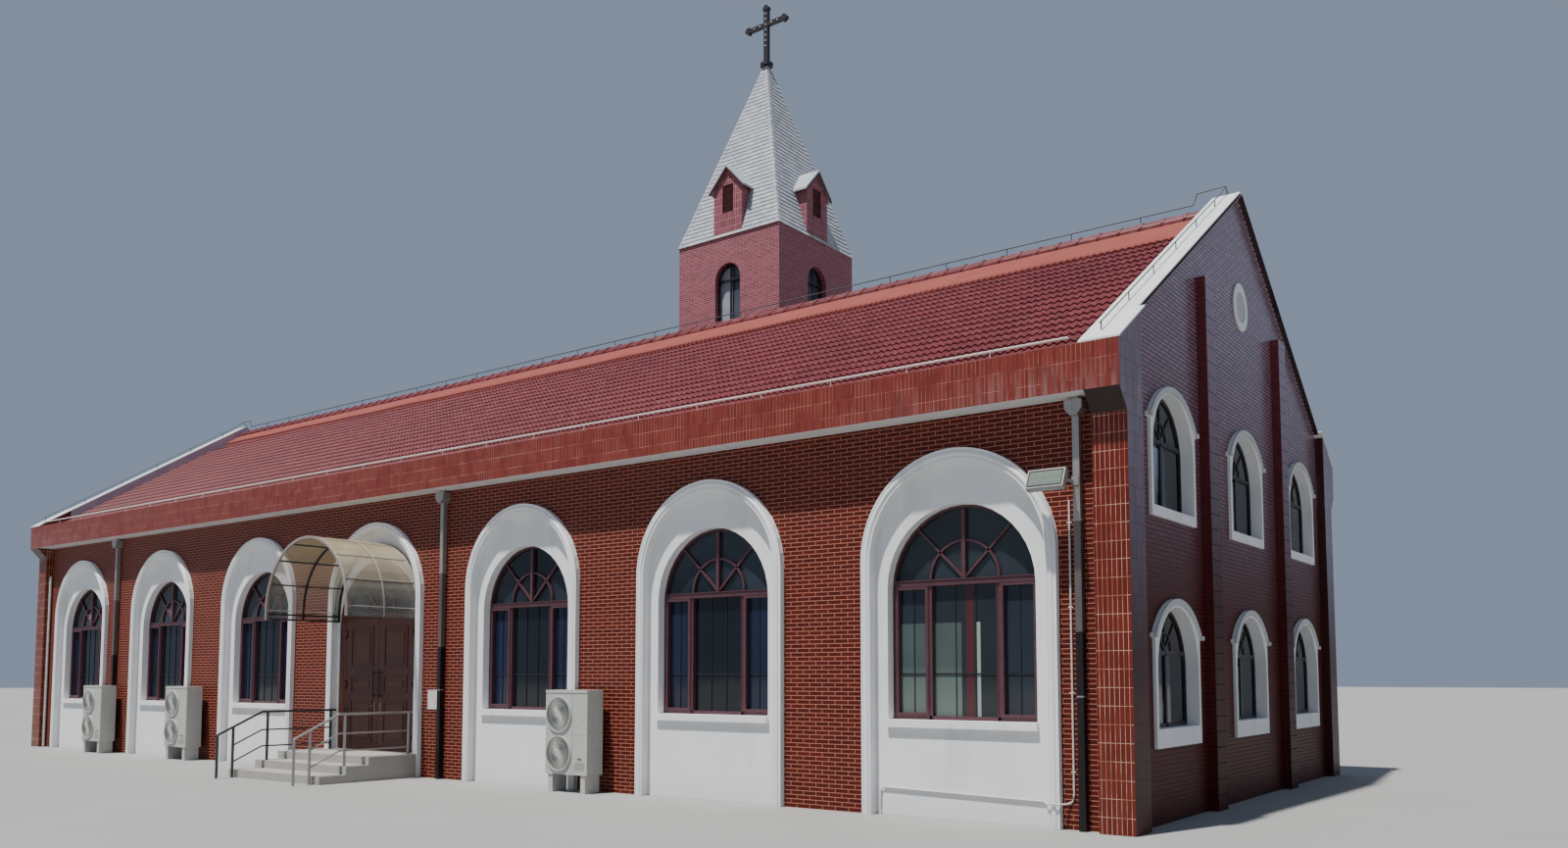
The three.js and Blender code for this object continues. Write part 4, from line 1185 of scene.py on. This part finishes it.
def door_finish():
    material, place = new_finish("door_wood")
    fibres = place.stretched(14.0, 14.0, 1.1)
    grain = fibres.cloudy(0.4, 8)
    patches = place.cloudy(0.7, 3)
    colour = tint(grain * 0.7 + patches * 0.3, "260d08", "55291c")
    return apply_coat(material, colour, 0.4 + grain * 0.2, grain, 0.001)


door_wood = door_finish()
dress_node(["door_frame", "door_leaf_left", "door_leaf_right"], door_wood)


def oblong(u0, u1, v0, v1):
    return [(u0, v0), (u1, v0), (u1, v1), (u0, v1)]


for side, name in ((-1, "left"), (1, "right")):
    panels = Stock()
    u0, u1 = sorted((side * PANEL_NEAR, side * PANEL_FAR))
    for low, high, inset in PANELS:
        front, back = LEAF_FRONT - 0.014, LEAF_FRONT + 0.005
        hollow_rect(panels, front_wall_at, u0, u1, low, high, 0.035, front, back)
        first = len(panels.points)
        for edge, depth in ((inset, 0.002), (inset, -0.008), (inset + 0.02, -0.018)):
            for u, v in oblong(u0 + edge, u1 - edge, low + edge, high - edge):
                panels.points.append(front_wall_at(u, v, LEAF_FRONT + depth))
        panels.skin(first, 4)
    panels.made("door_panels_" + name, door_wood, body="door_leaf_" + name, slot="door_wood")


# Door furniture. A worn brass plate on each leaf below the pull, with a lever and a lock
# cylinder, screwed to the stile.
LOCK_FROM_EDGE = 0.11
LEVER_Z = 1.48
PLATE_FOOT = 1.3
PLATE_SHOULDER = 1.54
PLATE_TOP = 1.56
LOCK_Z = 1.36
brass = worn_finish(
    "worn_brass", "6f5f49", "a3937a", patch=0.03, rough=0.35, uneven=0.2, depth=0.0004,
    metallic=0.8,
)
for side, name in ((-1, "left"), (1, "right")):
    fittings = Stock()
    u = side * LOCK_FROM_EDGE
    plate = [
        (u - 0.024, PLATE_FOOT), (u + 0.024, PLATE_FOOT), (u + 0.024, PLATE_SHOULDER),
        (u + 0.012, PLATE_TOP), (u - 0.012, PLATE_TOP), (u - 0.024, PLATE_SHOULDER),
    ]
    fittings.prism(plate, front_wall_at, LEAF_FRONT - 0.01, LEAF_FRONT)
    leaf_y = FRONT_Y + LEAF_FRONT
    lever = [(u, leaf_y - 0.008, LEVER_Z), (u, leaf_y - 0.05, LEVER_Z)]
    lever.append((u + side * 0.03, leaf_y - 0.058, LEVER_Z))
    lever.append((u + side * 0.12, leaf_y - 0.058, LEVER_Z - 0.005))
    fittings.rod(lever, 0.009)
    fittings.rod([(u, leaf_y - 0.022, LOCK_Z), (u, leaf_y - 0.008, LOCK_Z)], 0.014, 12)
    fittings.made("door_fittings_" + name, brass, body="door_leaf_" + name, slot="painted_iron")


# Fanlight. Plum-brown bars in the arch over the doors: a half ring and three spokes.
fan = Stock()
FAN_FOOT = (0, 3.56)
FAN_DEPTHS = (0.115, 0.143)
bowed(fan, front_wall_at, FAN_FOOT, 0.5, 0.54, *FAN_DEPTHS)
for degrees in (45, 90, 135):
    reach = on_arc(FAN_FOOT, 1.0, degrees, 0.86)
    straight(fan, front_wall_at, FAN_FOOT, reach, 0.04, *FAN_DEPTHS)
fan.made("fanlight_bars", plum_frame, slot="door_wood")


# Canopy. A barrel of bronze-tinted polycarbonate sheet over a painted steel frame of three
# hoops and the purlins between them, with a painted highlight on the front hoop, held down by
# pale aluminium strips over the hoops and by thin rods along the barrel.
def sheet_finish():
    material, place = new_finish("canopy_sheet")
    haze = place.cloudy(0.9, 2)
    high = place.along("Z").from_to(3.6, 4.9)
    clear = tint(haze, "8d9390", "a9aaa2")
    bronze = tint(haze, "b0a283", "cabd9d")
    colour = tint(high, clear, bronze)
    return apply_coat(material, colour, 0.12 + haze * 0.1, Alpha=0.2 + high * 0.22 + haze * 0.08)


def canopy_steel_finish():
    material, place = new_finish("canopy_steel")
    y, wear = place.along("Y"), place.cloudy(0.06, 5)
    # Painted highlight: the front hoop is painted pale grey where the light catches it.
    front = y < FRONT_Y - 1.71
    dark = tint(wear, "2a2224", "453a3c")
    colour = dark.covered("a79a96", front * 0.8)
    return apply_coat(material, colour, 0.4 + wear * 0.2, wear, 0.001, Metallic=0.3)


dress_node(["canopy_cover"], sheet_finish())
dress_node(["canopy_frame"], canopy_steel_finish())
COVER_RADIUS = 1.5265
CANOPY_FOOT = 3.37
CANOPY_SPRING = 3.585
STRIP_THICK = 0.006
ROD_ANGLES = (0, 22, 45, 68, 90, 112, 135, 158, 180)
canopy_centre = (0, CANOPY_SPRING)
strips = Stock()
for near in (-1.748, -0.873, -0.06):
    far = near + 0.035
    outer = COVER_RADIUS + STRIP_THICK
    bowed(strips, front_wall_at, canopy_centre, COVER_RADIUS, outer, near, far, 0, 180, 40)
    for side in (-1, 1):
        u = side * (COVER_RADIUS + STRIP_THICK / 2)
        foot, head = (u, CANOPY_FOOT), (u, CANOPY_SPRING)
        straight(strips, front_wall_at, foot, head, STRIP_THICK, near, far)
for degrees in ROD_ANGLES:
    u, v = on_arc(canopy_centre, COVER_RADIUS + 0.002, degrees)
    strips.rod([(u, FRONT_Y - 1.74, v), (u, FRONT_Y - 0.03, v)], 0.009, 6)
strip_look = worn_finish("canopy_strips", "9a9088", "bdb4aa", patch=0.05, rough=0.45)
strips.made("canopy_strips", strip_look, slot="grey_metal")


# Steps and floor. Pale cast concrete with rounded wear and darker joints between slabs.
def concrete_finish():
    material, place = new_finish("stone")
    patches = place.cloudy(0.4, 6)
    fine = place.cloudy(0.012, 5)
    slab_joint = abs(place.along("X") % 0.6 - 0.3) < 0.004
    colour = tint(patches * 0.6 + fine * 0.4, "8a8883", "aeaba4")
    colour = colour.covered("6d6b66", slab_joint)
    return apply_coat(material, colour, 0.85, fine, 0.003)


dress_node(["nave_floor", "entrance_steps"], concrete_finish())


# Hand rails and downspouts. Brushed stainless tube, darker on the left rail, and square spouts
# in lapped lengths, painted pale at the top and dark low down as a painted reflection of the sky
# and of the hedge.
def steel_finish(name, dark, light):
    material, place = new_finish(name)
    brushed = place.stretched(40.0, 40.0, 1.5).cloudy(0.3, 4)
    colour = tint(brushed, dark, light)
    return apply_coat(material, colour, 0.28 + brushed * 0.2, brushed, 0.0006, Metallic=0.85)


# The left rail is given a darker steel than the right.
dress_node(["handrail_left"], steel_finish("darker_rail_steel", "3c3a3e", "5a565a"))
dress_node(["handrail_right"], steel_finish("rail_steel", "8b8887", "b5b2b0"))


def spout_finish():
    material, place = new_finish("spout_steel")
    z = place.along("Z")
    brushed = place.stretched(30.0, 30.0, 1.0).cloudy(0.3, 4)
    # Painted reflection: the spouts are painted pale at the top, a middle grey below 4.3 m and
    # dark below 2.75 m, for the sky and the hedge reflected in the steel.
    painted_sky_reflection = tint(brushed, "8d8b88", "b8b5b0")
    dark = tint(brushed, "1e1c1d", "3a3436")
    middle = tint(brushed, "5d5856", "857d79")
    colour = painted_sky_reflection.covered(middle, z < 4.3).covered(dark, z < 2.75)
    lap = abs(z - 1.85) < 0.012
    colour = colour.covered("9a9896", lap)
    return apply_coat(material, colour, 0.3 + brushed * 0.2, brushed, 0.0006, Metallic=0.7)


dress_node(["downspout_left", "downspout_middle", "downspout_right"], spout_finish())


# Floodlight. A grey cast case with a dark gasket and a dull lens over a grid of lamp cells,
# fed by a white conduit that drops down the wall and turns in under the last window. A thicker
# white pipe runs up the left end of the same wall.
lamp_case = frame_finish("lamp_case", "77797a", "a0a2a2")
dress_node(["floodlight"], lamp_case)
bpy.context.view_layer.update()
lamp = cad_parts["floodlight"]
spots = [lamp.matrix_world @ vertex.co for vertex in lamp.data.vertices]
outward = [face for face in lamp.data.polygons if face.normal.y < -0.6]
sheet = max(outward, key=lambda face: face.area)
looks = sheet.normal.normalized()
rises = looks.cross((1, 0, 0)).normalized()
on_sheet = lamp.matrix_world @ sheet.center
flat = [spot for spot in spots if abs((spot - on_sheet).dot(looks)) < 0.001]
lamp_u = [spot.x for spot in flat]
lamp_v = [(spot - on_sheet).dot(rises) for spot in flat]
lamp_half = (max(lamp_u) - min(lamp_u)) / 2
lamp_rise = (max(lamp_v) - min(lamp_v)) / 2
lamp_middle = on_sheet + rises * (max(lamp_v) + min(lamp_v)) / 2
lamp_middle.x = (max(lamp_u) + min(lamp_u)) / 2


def lamp_at(u, v, depth):
    spot = lamp_middle + rises * v + looks * depth
    return (spot.x + u, spot.y, spot.z)


LENS_INSET = 0.042
CELL_COLUMNS = 6
CELL_GAP = 1 / 3.2
CELL_WIDE = 1 / 7.2
gasket, lens_cells = Stock(), Stock()
half, rise = lamp_half - 0.02, lamp_rise - 0.02
hollow_rect(gasket, lamp_at, -half, half, -rise, rise, 0.018, 0.0, 0.006)
half, rise = lamp_half - LENS_INSET, lamp_rise - LENS_INSET
lens_cells.prism(oblong(-half, half, -rise, rise), lamp_at, 0.0005, 0.0025)
for row in (-1, 1):
    for column in range(CELL_COLUMNS):
        u = (column - 2.5) * half * CELL_GAP
        v = row * rise * 0.42
        wide, high = half * CELL_WIDE, rise * 0.33
        lens_cells.prism(oblong(u - wide, u + wide, v - high, v + high), lamp_at, 0.0025, 0.005)
gasket.made("lamp_gasket", black_iron, slot="grey_metal")
lens_look = worn_finish("lamp_lens", "5b665f", "7e897f", patch=0.05, rough=0.2, detail=4)
lens_cells.made("lamp_lens_cells", lens_look, slot="grey_metal")

conduit = Stock()
LAMP_CONDUIT = [
    (16.4, -0.02, 4.62), (16.4, -0.02, 0.47), (16.375, -0.02, 0.39), (16.31, -0.03, 0.355),
    (16.24, -0.14, 0.35), (16.03, -0.14, 0.35), (15.94, 0.05, 0.355), (13.26, 0.05, 0.42),
    (13.2, 0.05, 0.38), (13.19, 0.05, 0.05),
]
CLIP_LEVELS = (4.3, 3.1, 1.9, 0.8)
COLLAR_LEVELS = (4.6, 3.2, 1.8, 0.6)
PIPE_X = -16.76
PIPE_Y = FRONT_Y - 0.06
conduit.rod([(x, FRONT_Y + out, z) for x, out, z in LAMP_CONDUIT], 0.014)
for z in CLIP_LEVELS:
    conduit.rod([(16.365, FRONT_Y - 0.022, z), (16.435, FRONT_Y - 0.022, z)], 0.009, 6)
conduit.rod([(PIPE_X, PIPE_Y, 5.2), (PIPE_X, PIPE_Y, 0.02)], 0.034, 12)
for z in COLLAR_LEVELS:
    conduit.rod([(PIPE_X, PIPE_Y, z), (PIPE_X, PIPE_Y, z + 0.04)], 0.041, 12)
conduit.made("white_conduits", white_pipe, slot="grey_metal")


# Notice plate. A bare white enamelled sheet with a pressed rim, screwed on beside the door.
plate = Stock()
PLATE = (1.93, 2.24, 1.44, 1.85)
plate.prism(oblong(*PLATE), front_wall_at, -0.01, 0.0)
hollow_rect(plate, front_wall_at, *PLATE, 0.012, -0.014, -0.009)
plate.made("notice_plate", white_pipe, slot="grey_metal")


# Cooling units. Enamelled steel cases: a panel with two fans behind wire guards over grey
# discs that are painted shade for the fan wells, a plain service panel beside it whose vent
# slots and handle recess are dark strips of painted shade, dark seams between the panels and a
# lipped lid.
AC_X = [-12.5, -7.75, 6.75]
AC_FRONT = -0.54
AC_HALF = 0.55
AC_FOOT = 0.33
AC_TOP = 1.88
FAN_OFF_CENTRE = -0.19
FAN_RADIUS = 0.32
FAN_LEVELS = (0.715, 1.43)
RIBS = 40
HUB_RADIUS = 0.07
LID_TOP = AC_TOP - 0.002
LID_FOOT = AC_TOP - 0.055
SEAM = FAN_OFF_CENTRE + 0.355
SEAM_TOP = AC_TOP - 0.06
SERVICE_SEAM = 1.06
HANDLE_Z = 0.62
VENT_LEVELS = [0.42 + k * 0.025 for k in range(6)]


def enamel_finish():
    material, place = new_finish("cream_metal")
    patches = place.cloudy(0.5, 5)
    fine = place.cloudy(0.006, 3)
    grime = place.cloudy(0.08, 6).from_to(0.55, 0.8)
    colour = tint(patches, "a6aaa4", "bcbfb8")
    colour = colour.covered("7b7d77", grime * 0.3)
    return apply_coat(material, colour, 0.45, fine, 0.0006)


cream = enamel_finish()
# One grey serves for the painted shade of the fan wells, vent slots and handle recess, and for the
# seams between the panels.
shade_and_seam_grey = frame_finish("fan_shade_and_seams", "4c5150", "6b706d")
dress_node(["cooling_unit_left", "cooling_unit_middle", "cooling_unit_right"], cream)
guards, shade_discs_and_seams = Stock(), Stock()


def unit_face(centre):
    """The front of one unit, with depths that count outwards."""
    return lambda u, v, out: front_wall_at(centre + u, v, AC_FRONT - out)


for centre in AC_X:
    at = unit_face(centre)
    for level in FAN_LEVELS:
        middle = (FAN_OFF_CENTRE, level)
        disc = [on_arc(middle, FAN_RADIUS, 360 * k / 32) for k in range(32)]
        hub = [on_arc(middle, HUB_RADIUS, 18 * k) for k in range(20)]
        # Painted shade: a grey disc under each guard stands for the hollow of the fan well.
        shade_discs_and_seams.prism(disc, at, 0.0, 0.002)
        guards.prism(hub, at, 0.016, 0.03)
        for inner, outer, near, far, steps in (
            (FAN_RADIUS - 0.012, FAN_RADIUS + 0.01, 0.0, 0.03, 40),
            (0.205, 0.209, 0.024, 0.028, 32),
        ):
            bowed(guards, at, middle, inner, outer, near, far, 0, 360, steps)
        for k in range(RIBS):
            path = []
            for i in range(5):
                reach = HUB_RADIUS - 0.002 + (FAN_RADIUS - 0.075) * i / 4
                turn = 360 * k / RIBS + math.degrees(0.7) * i / 4
                path.append(at(*on_arc(middle, reach, turn), 0.026))
            guards.rod(path, 0.0045, 4)
    guards.prism(oblong(-AC_HALF, AC_HALF, LID_FOOT, LID_TOP), at, 0.0, 0.007)
    low, high = HANDLE_Z - 0.03, HANDLE_Z + 0.03
    hollow_rect(guards, at, SEAM + 0.12, SEAM + 0.26, low, high, 0.008, 0.0, 0.004)
    # Dark seams between the panels, and dark strips as painted shade in the handle recess and the
    # vent slots.
    seams = [
        ((SEAM, AC_FOOT + 0.02), (SEAM, SEAM_TOP), 0.005, 0.0012),
        ((-AC_HALF, SEAM_TOP), (AC_HALF, SEAM_TOP), 0.007, 0.0012),
        ((SEAM, SERVICE_SEAM), (AC_HALF, SERVICE_SEAM), 0.004, 0.0012),
        ((SEAM + 0.14, HANDLE_Z), (SEAM + 0.24, HANDLE_Z), 0.03, 0.0015),
    ]
    for z in VENT_LEVELS:
        seams.append(((SEAM + 0.06, z), (AC_HALF - 0.06, z), 0.008, 0.0015))
    for start, end, wide, out in seams:
        straight(shade_discs_and_seams, at, start, end, wide, 0.0, out)
guards.made("cooling_unit_guards", cream, slot="cream_metal")
shade_discs_and_seams.made("cooling_unit_shade_and_seams", shade_and_seam_grey, slot="cream_metal")
